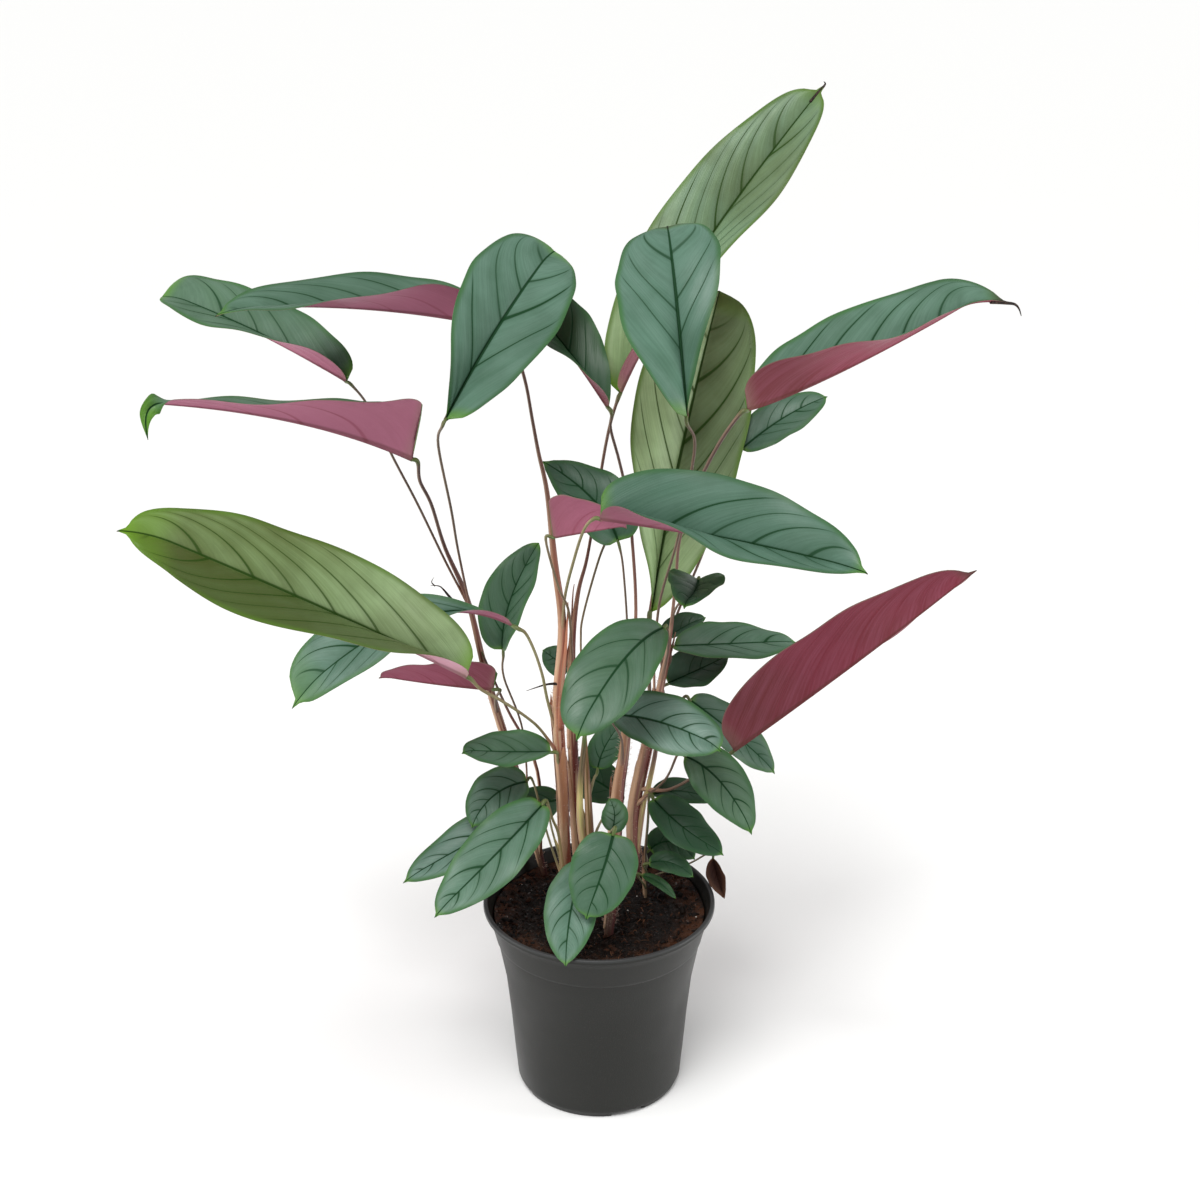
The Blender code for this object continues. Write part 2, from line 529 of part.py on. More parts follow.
def axis_path(shoot, leaves):
    """The smooth path of a shoot, from its buried foot to its last point, mm."""
    x, y = shoot.axis[0]
    mouth = soil_height(x, y)
    foot = [(x, y, foot_height(shoot))]
    rising = [(x, y, mouth + FOOT_STRAIGHT)] + list(shoot.axis[1:])
    ending = [leaf for leaf in leaves if leaf.join is None]
    if not ending:
        return np.vstack([foot, smooth_path(rising, STEPS_PER_POINT)])
    joint, end = leaf_seat(ending[0])
    return np.vstack([foot, smooth_path(rising + [joint], STEPS_PER_POINT), [end]])


def point_at_height(path, height):
    """The point of a rising path at a height."""
    order = np.argsort(path[:, 2])
    return np.array([np.interp(height, path[order, 2], path[order, k]) for k in range(3)])


def petiole_radii(radius, count):
    """Radii along a petiole, swollen at the joint with the blade."""
    radii = np.full(count, radius)
    radii[-PULVINUS_POINTS:] = radius * PULVINUS_SWELL
    return radii


def build_shoot(shoot, parts):
    """A shoot: its stem and every petiole and twin stem on it, joined into one body."""
    leaves = [leaf for leaf in LEAVES if leaf.shoot == shoot.name]
    path = axis_path(shoot, leaves)
    lengths = np.concatenate([[0.0], np.cumsum(np.linalg.norm(np.diff(path, axis=0), axis=1))])
    share = lengths / lengths[-1]
    thinned = np.clip((share - SHEATHED) / (FREE - SHEATHED), 0, 1)
    thinned = thinned * thinned * (3 - 2 * thinned)
    radii = shoot.radius_low + (shoot.radius_top - shoot.radius_low) * thinned
    stem = tube(shoot.name, path, radii, STEM_SIDES_EXTRA, parts)
    stem.data.materials.append(material(shoot.name + "_finish", shoot.color, 0.55))

    branches = bpy.data.collections.new(shoot.name + "_branches")
    bpy.context.scene.collection.children.link(branches)
    for leaf in leaves:
        if leaf.join is None:
            continue
        start = point_at_height(path, leaf.join)
        joint, end = leaf_seat(leaf)
        route = np.vstack([smooth_path([start] + leaf.via + [joint], STEPS_PER_POINT), [end]])
        tube(leaf.name + "_petiole", route, petiole_radii(leaf.petiole, len(route)),
             PETIOLE_SIDES_EXTRA, branches)
    for owner, radius, points in TWIN_STEMS:
        if owner != shoot.name:
            continue
        start = point_at_height(path, points[0][2])
        end = point_at_height(path, points[-1][2])
        route = smooth_path([start] + points[1:-1] + [end], STEPS_PER_POINT)
        tube(owner + "_twin", route, np.full(len(route), radius), PETIOLE_SIDES_EXTRA, branches)

    if len(branches.objects):
        join = stem.modifiers.new("Join", "BOOLEAN")
        join.operation = "UNION"
        join.operand_type = "COLLECTION"
        join.collection = branches
        joined = evaluated_mesh(stem)
        stem.modifiers.clear()
        stem.data = joined
    for item in list(branches.objects):
        bpy.data.objects.remove(item, do_unlink=True)
    bpy.data.collections.remove(branches)
    return stem


def main():
    """Builds the whole plant."""
    clear_scene()
    parts = collection("potted_ctenanthe")
    cutters = collection("cutters")
    build_pot(parts, cutters)
    build_soil(parts, cutters)
    for shoot in SHOOTS:
        build_shoot(shoot, parts)
    for leaf in LEAVES:
        build_blade(leaf, parts)


main()
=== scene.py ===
import json
import math
from collections import namedtuple

import bpy
import numpy as np
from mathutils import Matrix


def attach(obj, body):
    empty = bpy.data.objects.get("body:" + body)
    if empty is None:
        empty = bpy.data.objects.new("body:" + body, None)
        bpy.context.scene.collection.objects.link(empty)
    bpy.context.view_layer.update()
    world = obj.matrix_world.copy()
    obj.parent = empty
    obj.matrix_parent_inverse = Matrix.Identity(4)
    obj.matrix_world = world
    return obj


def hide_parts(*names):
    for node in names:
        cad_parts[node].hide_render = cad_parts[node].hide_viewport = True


# %% [markdown]
# # A potted ctenanthe
# The plant is a clump of thin shoots in a nursery pot. Each shoot carries long petioles, and each
# petiole ends in one blade: grey-green with dark veins above, burgundy below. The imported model
# gives every piece its place and size. This script puts a finer skin on each of those pieces.

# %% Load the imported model
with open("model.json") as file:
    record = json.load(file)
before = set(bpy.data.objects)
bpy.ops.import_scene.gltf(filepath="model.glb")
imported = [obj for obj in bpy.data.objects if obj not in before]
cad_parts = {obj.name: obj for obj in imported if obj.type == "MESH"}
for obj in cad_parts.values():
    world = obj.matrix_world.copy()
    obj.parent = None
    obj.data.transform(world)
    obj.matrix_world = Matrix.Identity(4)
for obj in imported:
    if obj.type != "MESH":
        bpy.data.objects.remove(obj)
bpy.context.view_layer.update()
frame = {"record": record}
MM = 0.001

# %% [markdown]
# ## Camera
# The pot's rim and foot are two circles of known size. How flat they look gives the camera's
# tilt, and how large they look gives its distance. It stands 1.5 m away and looks down at 22
# degrees, through a lens that is a little longer than a normal one.

# %% The camera
def placed(name, data, place=(0.0, 0.0, 0.0), turn=(0.0, 0.0, 0.0)):
    """An object with this mesh, lamp or lens, put into the scene."""
    item = bpy.data.objects.new(name, data)
    item.location = place
    item.rotation_euler = turn
    bpy.context.scene.collection.objects.link(item)
    return item


CAMERA_PLACE = (0.0007, -1.2, 0.871)
LOOKS_DOWN = math.radians(22.0)
lens = bpy.data.cameras.new("photo_lens")
lens.lens = 56.4
lens.sensor_width = 36.0
bpy.context.scene.camera = placed("photo_camera", lens, CAMERA_PLACE, (math.pi / 2 - LOOKS_DOWN, 0.0, 0.0))
bpy.context.scene.view_settings.view_transform = "Standard"
print("camera at", CAMERA_PLACE)

# %% [markdown]
# ## Where the shoots and leaves are
# Every shoot is a smooth curve through a few points, and every blade hangs on three points of its
# midrib. They are the points that the solid model was built on, in millimetres, but for a few
# blades that were moved or trimmed a little here after another look at the photo.

# %% Shoots and leaves, in millimetres and degrees
# Outlines: how the half width rises from the base and falls to the tip, as powers. The larger the
# power, the more pointed that end. Four numbers serve a blade whose left and right halves differ.
OVAL = (0.5, 0.62)
OBLONG = (0.5, 0.45)
SQUARE_BASE = (0.22, 0.5)
BLUNT_TIP = (0.4, 0.42)

Shoot = namedtuple("Shoot", "name radius_low radius_top low high axis")
Leaf = namedtuple("Leaf", "name shoot join petiole via base mid tip width face fold outline tone bend")

# low and high are the colours of a stem at its foot and of its petioles
SHOOTS = [
    Shoot("shoot_left", 3.2, 1.2, (0.190, 0.060, 0.042), (0.045, 0.030, 0.028), [
        (-42, 55), (-52, 62, 180), (-64, 63, 226), (-79, 66, 281), (-86, 70, 310),
        (-96, 70, 359), (-110, 60, 402), (-117, 42, 441), (-123, 28, 463)]),
    Shoot("shoot_main", 4.1, 1.2, (0.380, 0.140, 0.080), (0.060, 0.045, 0.036), [
        (-18, 34), (-25, 33, 162), (-27, 30, 221), (-30, 27, 292), (-26, 25, 355), (-31, 28, 403),
        (-36, 38, 451), (-42, 46, 478), (-46, 52, 499), (-51, 58, 526), (-59, 61, 550)]),
    Shoot("shoot_tall", 4.0, 1.1, (0.160, 0.036, 0.024), (0.130, 0.075, 0.055), [
        (-15, 50), (-17, 48, 188), (-19, 47, 239), (-20, 47, 288), (-19, 48, 336),
        (-15, 54, 370), (-9, 64, 391), (-4, 76, 417), (3, 84, 461), (8, 78, 489)]),
    Shoot("shoot_olive", 3.0, 0.8, (0.200, 0.130, 0.045), (0.070, 0.065, 0.028), [
        (-5, 30), (-7, 30, 191), (-10, 32, 259), (-12, 33, 303), (-13, 34, 342),
        (-11, 36, 361), (0, 38, 402), (8, 40, 421)]),
    Shoot("shoot_front", 4.8, 1.1, (0.270, 0.100, 0.070), (0.045, 0.032, 0.030), [
        (7, -27), (9, -20, 158), (13, 0, 231), (19, 12, 273), (26, 30, 356), (23, 42, 419),
        (20, 62, 440), (14, 60, 468), (8, 46, 495)]),
    Shoot("shoot_right", 4.6, 1.2, (0.340, 0.170, 0.130), (0.060, 0.040, 0.035), [
        (28, 50), (26, 48, 195), (36, 46, 254), (44, 42, 299), (50, 40, 334), (54, 34, 385),
        (56, 28, 420), (64, 20, 452), (71, 12, 475), (82, 5, 500)]),
    Shoot("shoot_low_right", 1.8, 1.0, (0.030, 0.020, 0.010), (0.080, 0.095, 0.035), [
        (35, 22), (34, 22, 169), (36, 24, 200)]),
    Shoot("shoot_low_front", 1.8, 1.0, (0.180, 0.170, 0.060), (0.080, 0.130, 0.035), [
        (1, 15), (1, -3, 175), (3, -24, 208)]),
    Shoot("shoot_low_left", 2.2, 1.0, (0.420, 0.350, 0.150), (0.120, 0.130, 0.050), [
        (-25, 18), (-29, 12, 192), (-34, 9, 211)]),
]

# The blades of each shoot in turn, named leaf_SHOOT_1 and so on. A row says at what height its
# petiole leaves the stem (None where the stem itself ends in the blade), the petiole's radius,
# the points it passes, and base, mid and tip of the midrib. Then come:
#   width    of the blade, or twice each half's, left and right;
#   face     where the upper side looks: azimuth from -Y towards +X, and elevation;
#   fold     how far each half is raised from flat, at the base and near the tip, with four
#            numbers where the left half and the right differ;
#   outline  a shape from above, or its own numbers;
#   tone     how warm the upper side is, how dark it is painted, and how pale the under side is, each
#            from 0 to 1. Dark is partly a deeper green of the blade and mostly painted shade, where the
#            blade or a half lies in shade. It may be a pair, left and right, and below 0 it is painted
#            light, which makes the blade or half paler;
#   bend     how far the tip hangs off the midrib's line.
LEAF_ROWS = {
    "left": [
        (350, 0.9, [(-100, 50, 404), (-102, 26, 443), (-106, -12, 501)],
         (-99, -30, 524), (-66, 25, 573), (-30, 90, 613), (77, 74), (30, 45),
         (55, 5, 62, 10), (1.0, 0.55, 0.25, 0.3), (0.05, 0.1, 0.3), (0, 0, -4)),
        (350, 0.9, [(-110, 66, 388), (-129, 64, 434), (-145, 60, 471), (-159, 54, 508)],
         (-173, 50, 527), (-240, 90, 552), (-314, 134, 571), (54, 61), (0, 69),
         (95, 12, 45, 10), (0.6, 0.55, 0.32, 0.17), (0.35, 0.25, 0.7), (0, 0, -4)),
        (None, 1.2, [], (-127, 20, 481), (-206, -25, 523), (-303, -68, 547), 78, (180, 66),
         (65, 3, 70, 28), (0.06, 0.85), (0.3, 0.1, 0.75), (20, 0, -25)),
        (268, 1.0, [(-76, 54, 286)], (-77, 44, 298), (-120, 50, 300), (-162, 60, 302), 45, (180, 55),
         (65, 25), SQUARE_BASE, (0.2, 0.2, 0.3), (0, 0, -2)),
        (186, 0.8, [(-56, 52, 259), (-69, 45, 307)],
         (-69, 40, 332), (-63, 45, 368), (-43, 60, 406), 42, (-30, 20),
         (50, 20), OVAL, (0.3, 0.6, 0.3), (0, 0, 0))],
    "main": [
        (None, 0.9, [], (-74, 60, 564), (-162, 35, 582), (-248, -5, 590), 62, (0, 85),
         (100, 10, 65, 20), OVAL, (0.15, 0.25, 0.75), (0, 0, -4)),
        (345, 1.1, [(-24, 18, 380), (-17, 0, 416), (-10, -12, 442)],
         (1, -20, 452), (86, -75, 457), (163, -125, 456), 81, (0, 62),
         (60, 28, 85, 22), (0.35, 0.6, 0.7, 0.75), (0.0, 0.3, 0.7), (2, 0, -2)),
        # Its left half is painted darker: painted shade.
        (250, 1.1, [(-41, 18, 277), (-52, 7, 294), (-69, -6, 313), (-82, -12, 324)],
         (-92, -15, 335), (-192, -75, 417), (-290, -125, 488), 86, (0, 62),
         (68, 2, 50, 18), (0.62, 0.5, 0.38, 0.5), (0.85, (0.8, 0.0), 1.0), (-3, 0, -6)),
        (262, 1.1, [(-37, 22, 300), (-40, 15, 322), (-45, 11, 342), (-51, 9, 357)],
         (-60, 9, 363), (-137, 50, 350), (-232, 85, 269), (50, 58), (0, 42),
         (100, 8, 50, 3), (0.5, 0.45, 1.6, 0.35), (0.0, 0.3, 0.7), (0, 0, -6)),
        (238, 0.9, [(-30, 25, 251)], (-35, 20, 259), (-67, 5, 267), (-97, -10, 276), 36, (0, 68),
         (50, 0), OVAL, (0.3, 0.4, 0.3), (0, 0, -3))],
    "tall": [
        (None, 1.2, [], (15, 68, 514), (71, 120, 601), (160, 170, 711), 79, (-30, 20),
         (50, 22, 90, 22), OBLONG, (0.25, 0.0, 0.3), (0, 0, 0)),
        (316, 0.9, [(-21, 22, 367), (-28, 5, 394)],
         (-31, -10, 435), (-3, 2, 436), (19, 24, 432), (20, 56), (180, 40),
         (60, 30), (0.12, 0.85), (0.2, 0.5, 0.55), (0, 0, -2)),
        (298, 0.8, [(-20, 51, 306)], (-22, 54, 311), (-31, 52, 318), (-41, 50, 327), 22, (0, 40),
         (10, 0), OVAL, (0.2, 0.6, 0.3), (0, 0, 0)),
        (165, 0.9, [(-23, 51, 190)], (-30, 46, 206), (-50, 39, 204), (-69, 34, 190), 28, (0, 25),
         (10, 0), OVAL, (0.2, 0.9, 0.3), (0, 0, 0))],
    "olive": [
        (214, 0.8, [(-4, 37, 228)], (-1, 40, 236), (5, 42, 254), (17, 50, 269), 24, (0, 20),
         (10, 0), OVAL, (0.2, 0.7, 0.3), (0, 0, 0)),
        (173, 0.9, [(2, 45, 190)], (14, 60, 203), (-7, 62, 217), (-28, 65, 223), 34, (0, 40),
         (10, 0), OVAL, (0.1, 1.0, 0.3), (0, 0, 0))],
    "front": [
        (None, 0.9, [], (6, 36, 513), (-22, 60, 547), (-52, 90, 575), 56, (35, 55),
         (70, 20, 50, 25), (0.5, 0.62, 0.8, 0.35), (1.0, 0.9, 0.3), (0, 0, 0)),
        (300, 0.8, [(20, 32, 355), (17, 36, 396)],
         (13, 37, 416), (-5, 46, 444), (-40, 66, 465), 50, (0, 50),
         (40, 5), (0.45, 0.8), (0.1, 0.7, 0.3), (0, 0, 0)),
        (250, 0.9, [(16, 0, 279)], (11, -10, 303), (45, -25, 304), (84, -45, 295), 44, (0, 50),
         (30, 0), OBLONG, (0.0, -0.2, 0.3), (0, 0, -3))],
    "right": [
        (None, 1.0, [], (98, 0, 521), (181, 40, 546), (276, 93, 584), (78, 70), (0, 78),
         (50, 25, 98, 38), (0.55, 0.5, 0.35, 0.9), (0.1, 0.1, 0.1), (14, 0, -13)),
        (280, 1.0, [(40, 42, 319), (43, 37, 369), (54, 18, 423), (62, 0, 480), (63, -12, 505)],
         (57, -20, 523), (51, 20, 590), (46, 70, 632), (89, 66), (-10, 55),
         (80, 4, 50, 4), (0.2, 0.42, 1.1, 0.36), (0.0, 0.1, 0.3), (0, 0, -2)),
        # Its left half is painted paler: painted light, against the shade of the blade in front.
        (265, 1.4, [(36, 49, 318)], (37, 52, 356), (57, 105, 447), (88, 158, 566), 89, (5, 15),
         (85, 8, 50, 8), (0.75, 0.4, 0.55, 0.35), (0.6, (-1.0, 0.1), 0.45), (0, 0, 0)),
        (348, 0.8, [(54, 30, 367), (62, 10, 388)],
         (68, 0, 401), (64, -30, 404), (56, -55, 406), 44, (0, 70),
         (30, 30), BLUNT_TIP, (0.4, 0.9, 0.3), (0, 0, -4)),
        (310, 0.8, [(45, 52, 318)], (45, 60, 326), (61, 62, 339), (78, 65, 346), 24, (0, 72),
         (60, 15), OVAL, (0.1, 0.9, 0.3), (0, 0, 0)),
        (310, 0.9, [(52, 46, 322)], (54, 42, 333), (98, 38, 337), (144, 50, 334), 44, (0, 75),
         (25, 3), OVAL, (0.2, 0.3, 0.3), (0, 0, -2)),
        (278, 0.9, [(47, 52, 289)], (51, 54, 298), (72, 54, 309), (95, 52, 322), 38, (0, 60),
         (55, 5), OVAL, (0.1, 0.8, 0.3), (0, 0, 0)),
        (305, 1.0, [(49, 25, 338)], (45, 5, 363), (16, -45, 360), (-15, -90, 327), (50, 54), (-5, 45),
         (30, 0), (0.8, 0.5, 0.7, 0.4), (0.3, 0.4, 0.3), (0, 0, -5)),
        (215, 1.1, [(50, 38, 219), (70, 27, 236)],
         (97, 9, 266), (169, -40, 353), (240, -85, 441), (62, 76), (180, 50),
         (45, 32), (0.3, 0.5, 0.34, 0.5), (0.2, 0.1, 0.05), (0, 0, 0)),
        (256, 0.9, [(54, 58, 271)], (67, 60, 282), (101, 62, 253), (132, 60, 223), 36, (0, 60),
         (15, 5), OVAL, (0.1, 0.6, 0.3), (0, 0, -2)),
        (200, 0.9, [(48, 25, 234)], (61, 0, 266), (86, -10, 251), (108, -30, 222), 38, (0, 45),
         (30, 0), OVAL, (0.5, 0.35, 0.3), (0, 0, -3)),
        (180, 0.8, [(32, 50, 196)], (40, 50, 208), (63, 45, 214), (85, 40, 208), 24, (0, 70),
         (40, 0), OVAL, (0.1, 1.0, 0.3), (0, 0, 0)),
        (262, 1.0, [(51, 75, 324), (75, 105, 376), (91, 112, 420)],
         (104, 110, 460), (135, 120, 481), (167, 130, 494), 36, (0, 60),
         (15, 5), OVAL, (0.1, 0.5, 0.3), (0, 0, 0))],
    # These low blades are painted dark green, nearly black: painted shade, deep under the other leaves.
    "low_right": [
        (None, 0.9, [], (40, 25, 218), (62, 5, 205), (90, -10, 193), 36, (-10, 74),
         (30, 0), OVAL, (0.0, 1.05, 0.3), (0, 0, -2)),
        (158, 0.8, [(36, 25, 166)], (38, 27, 175), (54, 24, 183), (71, 19, 171), 26, (0, 40),
         (20, 0), OVAL, (0.1, 1.1, 0.3), (0, 0, 0)),
        (150, 0.8, [(35, 16, 162)], (37, 7, 175), (53, 2, 178), (69, -3, 169), 18, (0, 60),
         (20, 0), OVAL, (0.0, 1.15, 0.3), (0, 0, 0)),
        (144, 0.7, [(33, 16, 152)], (32, 10, 163), (45, 0, 162), (56, -10, 155), 8, (0, 50),
         (20, 0), OVAL, (0.0, 1.15, 0.3), (0, 0, 0)),
        (152, 0.7, [(49, 24, 158), (68, 28, 163)],
         (85, 30, 166), (89, 26, 151), (94, 22, 136), 18, (-20, 30),
         (50, 35), (0.6, 1.0), (1.0, 1.0, 0.3), (0, 0, 0))],
    "low_front": [
        (None, 0.9, [], (10, -38, 224), (3, -52, 204), (-9, -68, 176), 46, (5, 45),
         (10, 0), BLUNT_TIP, (0.2, 0.6, 0.3), (0, 0, -3)),
        (188, 0.7, [(6, -18, 204)], (9, -20, 217), (11, -20, 231), (7, -20, 243), 20, (0, 20),
         (30, 10), OVAL, (0.4, 0.1, 0.3), (0, 0, 0)),
        (148, 0.8, [(-5, -12, 168)], (-11, -30, 197), (-20, -55, 171), (-23, -90, 151), 38, (0, 45),
         (20, 0), OVAL, (0.05, 0.2, 0.3), (0, 0, -2))],
    "low_left": [
        (None, 1.0, [], (-41, 5, 224), (-74, -35, 205), (-114, -75, 181), 46, (0, 50),
         (40, 3), OVAL, (0.15, 0.1, 0.3), (0, 0, -2)),
        (165, 0.8, [(-35, 22, 196)], (-43, 25, 214), (-88, 5, 197), (-142, -15, 173), 38, (0, 55),
         (25, 3), OVAL, (0.0, -0.1, 0.3), (0, 0, -2)),
        (151, 0.8, [(-38, 24, 189)], (-53, 30, 230), (-76, 15, 227), (-92, 0, 210), 36, (0, 45),
         (20, 0), OVAL, (0.1, 0.2, 0.3), (0, 0, -2))],
}
LEAVES = [Leaf(f"leaf_{shoot}_{number}", f"shoot_{shoot}", *row)
          for shoot, rows in LEAF_ROWS.items() for number, row in enumerate(rows, 1)]

# What a few blades have of their own: which way a hanging tip looks, how far the base's corners
# sweep back, a tip's look (above 0 where it has died back, below 0 where it is fresh green), and
# the size of the drip tip.
HANGING_TIPS = {"leaf_left_3": (10, 10)}
SWEPT_BACK = {"leaf_left_3": -0.3, "leaf_right_9": 0.0, "leaf_tall_2": 0.0, "leaf_left_4": 0.2}
# The dark brown tip of leaf_right_3 is partly a stain and partly painted shadow, cast by the blade in
# front.
TIP_LOOK = {"leaf_right_1": 1.0, "leaf_tall_1": 0.4, "leaf_right_2": 0.7, "leaf_right_9": 0.5,
            "leaf_left_3": -1.0, "leaf_main_3": -0.35, "leaf_main_4": -0.25, "leaf_right_3": 0.6}
DRIP = {"leaf_left_2": 0.1, "leaf_left_1": 0.3, "leaf_left_5": 0.2, "leaf_right_2": 0.6,
        "leaf_right_3": 0.2, "leaf_main_4": 1.3, "leaf_left_3": 0.6}

# Thin stems that rise beside a shoot and join it higher up: the radius, how yellow the stem is low
# down, and its points
TWIN_STEMS = {
    "shoot_left": (1.5, 0.0, [(-46, 57, 150), (-46, 50, 229), (-68, 50, 281), (-84, 54, 321)]),
    "shoot_right": (2.5, 0.85, [
        (30, 48, 150), (33, 46, 202), (36.5, 44, 218), (42, 40, 255), (45, 38, 275)]),
    "shoot_olive": (3.4, 1.0, [(-5, 30, 150), (-13, 27, 190), (-14, 28, 225), (-11, 33, 267)]),
}
print("shoots:", len(SHOOTS), "leaves:", len(LEAVES))

# %% [markdown]
# ## Helpers for meshes
# A surface here is a grid of points that a formula gives. The helpers turn such grids into
# closed meshes, and keep a few numbers on each point for the materials to read.


# %% Vectors and smooth curves
def unit(vectors):
    """Vectors scaled to length 1."""
    return vectors / np.linalg.norm(vectors, axis=-1, keepdims=True)


def smooth_path(points, steps):
    """A smooth curve through points: each stretch is a cubic of the four points round it."""
    points = np.array(points, float)
    padded = np.vstack([2 * points[0] - points[1], points, 2 * points[-1] - points[-2]])
    t = (np.arange(steps) / steps)[None, :, None]
    before, start, end, after = (padded[k:len(padded) - 3 + k, None, :] for k in range(4))
    pieces = 0.5 * (2 * start + (end - before) * t + (2 * before - 5 * start + 4 * end - after) * t ** 2
                    + (3 * start - before - 3 * end + after) * t ** 3)
    return np.vstack([pieces.reshape(-1, 3), points[-1]])


def smoothstep(low, high, values):
    """0 below low, 1 above high and an S-curve between."""
    t = np.clip((values - low) / (high - low), 0.0, 1.0)
    return t * t * (3.0 - 2.0 * t)


# %% Grids to faces
def grid_faces(rows, columns, wrap=False):
    """Quads of a grid of points numbered row by row. wrap joins the last column to the first."""
    i, j = np.meshgrid(np.arange(rows - 1), np.arange(columns if wrap else columns - 1), indexing="ij")
    k = (j + 1) % columns
    quads = np.stack([i * columns + j, i * columns + k, (i + 1) * columns + k, (i + 1) * columns + j], -1)
    return quads.reshape(-1, 4)


def fan_faces(ring, pole, flip=False):
    """Triangles from a closed ring of points to one pole."""
    after = np.roll(ring, -1)
    first, second = (after, ring) if flip else (ring, after)
    return np.stack([first, second, np.full(len(ring), pole)], -1)


def capped_faces(rows, columns, turned=False):
    """Faces of a closed tube: a grid that wraps round, and a fan to a pole at each end.

    The poles are numbered after the grid's points: the first row's, then the last row's.
    """
    body = grid_faces(rows, columns, wrap=True)
    count = rows * columns
    first = fan_faces(np.arange(columns), count, flip=not turned)
    last = fan_faces(np.arange(count - columns, count), count + 1, flip=turned)
    return [body[:, ::-1] if turned else body, first, last]


def repeated(faces, corners, count):
    """The triangles of many copies of a shape that has this number of corners."""
    return (faces[None] + corners * np.arange(count)[:, None, None]).reshape(-1, 3)


def sheet_faces(rows, columns, turned=False):
    """Faces of a closed sheet: a grid, the same grid below it, and a strip round the margin."""
    upper = grid_faces(rows, columns)
    index = np.arange(rows * columns).reshape(rows, columns)
    loop = np.concatenate([index[0, :-1], index[:-1, -1], index[-1, :0:-1], index[:0:-1, 0]])
    lower = loop + rows * columns
    strip = np.stack([loop, np.roll(loop, -1), np.roll(lower, -1), lower], -1)
    if turned:
        upper, strip = upper[:, ::-1], strip[:, ::-1]
    return [upper, upper[:, ::-1] + rows * columns, strip[:, ::-1]]


def new_piece(name, points, faces, values=None, uv=None):
    """A smooth object at the origin from points in mm, lists of faces, and values kept on its points."""
    mesh = bpy.data.meshes.new(name)
    corners = [face for block in faces for face in np.asarray(block).tolist()]
    mesh.from_pydata((np.asarray(points) * MM).tolist(), [], corners)
    mesh.shade_smooth()
    for key, numbers in (values or {}).items():
        kept = mesh.attributes.new(key, "FLOAT_VECTOR", "POINT")
        kept.data.foreach_set("vector", np.ascontiguousarray(numbers, np.float32).ravel())
    if uv is not None:
        loops = np.empty(len(mesh.loops), np.int32)
        mesh.loops.foreach_get("vertex_index", loops)
        layer = mesh.uv_layers.new(name="surface")
        layer.data.foreach_set("uv", np.ascontiguousarray(uv[loops], np.float32).ravel())
    piece = placed(name, mesh)
    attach(piece, "root")
    return piece


def dress(piece, material, slot, *nodes):
    """Gives a piece its material and hides the CAD nodes it stands for."""
    piece.data.materials.append(material)
    if nodes:
        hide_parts(*nodes)


# %% [markdown]
# ## Helpers for materials
# A node group that several materials share is built once. Small functions keep the node code
# short: one adds a node and links or sets its inputs, others do sums, mix two colours, or lay
# many colours over one another, each by its own share.


# %% Nodes in few words
def node(tree, kind, inputs=None, **settings):
    """Adds a node, sets its properties, and links or sets its inputs by name or number."""
    made = tree.nodes.new(kind)
    for key, value in settings.items():
        setattr(made, key, value)
    for key, value in (inputs or {}).items():
        if isinstance(value, bpy.types.NodeSocket):
            tree.links.new(value, made.inputs[key])
        else:
            made.inputs[key].default_value = value
    return made


def sums(tree, operation, *values, clamp=False):
    """The output of a Math node."""
    made = node(tree, "ShaderNodeMath", dict(enumerate(values)), operation=operation, use_clamp=clamp)
    return made.outputs[0]


def times(tree, first, second, clamp=False):
    """The product of two values."""
    return sums(tree, "MULTIPLY", first, second, clamp=clamp)


def ramp(tree, value, low, high, start=0.0, end=1.0):
    """A smooth step of value from low to high, put out as start to end."""
    return node(tree, "ShaderNodeMapRange", {0: value, 1: low, 2: high, 3: start, 4: end},
                interpolation_type="SMOOTHSTEP").outputs[0]


def blend_colors(tree, share, first, second):
    """The output of a colour Mix node. Colours are sockets or (r, g, b)."""
    made = node(tree, "ShaderNodeMix", {0: share}, data_type="RGBA")
    for key, value in ((6, first), (7, second)):
        if isinstance(value, bpy.types.NodeSocket):
            tree.links.new(value, made.inputs[key])
        else:
            made.inputs[key].default_value = (*value, 1.0)
    return made.outputs[2]


def layered(tree, color, *layers):
    """A colour with others laid over it in turn, each given as its share and itself."""
    for share, over in layers:
        color = blend_colors(tree, share, color, over)
    return color


def parts_of(tree, name):
    """The three numbers that a piece keeps on its points under a name."""
    read = node(tree, "ShaderNodeAttribute", attribute_name=name)
    return node(tree, "ShaderNodeSeparateXYZ", {0: read.outputs["Vector"]}).outputs[:3]


def noise(tree, scale, detail=3.0, stretch=None):
    """Noise on Object coordinates, from 0 to 1. stretch scales the three axes."""
    place = node(tree, "ShaderNodeTexCoord").outputs["Object"]
    if stretch:
        place = node(tree, "ShaderNodeMapping", {0: place, 3: stretch}).outputs[0]
    made = node(tree, "ShaderNodeTexNoise", {"Vector": place, "Scale": scale, "Detail": detail})
    return made.outputs["Fac"]


def new_material(name, roughness, **constants):
    """A material with a Principled shader, and its node tree and shader."""
    made = bpy.data.materials.new(name)
    made.use_nodes = True
    shader = made.node_tree.nodes["Principled BSDF"]
    shader.inputs["Roughness"].default_value = roughness
    for key, value in constants.items():
        shader.inputs[key.replace("_", " ")].default_value = value
    return made, made.node_tree, shader


def add_bump(tree, shader, height, distance):
    """Feeds a height in metres x distance into the shader's normal."""
    bump = node(tree, "ShaderNodeBump", {"Height": height, "Distance": distance})
    tree.links.new(bump.outputs["Normal"], shader.inputs["Normal"])


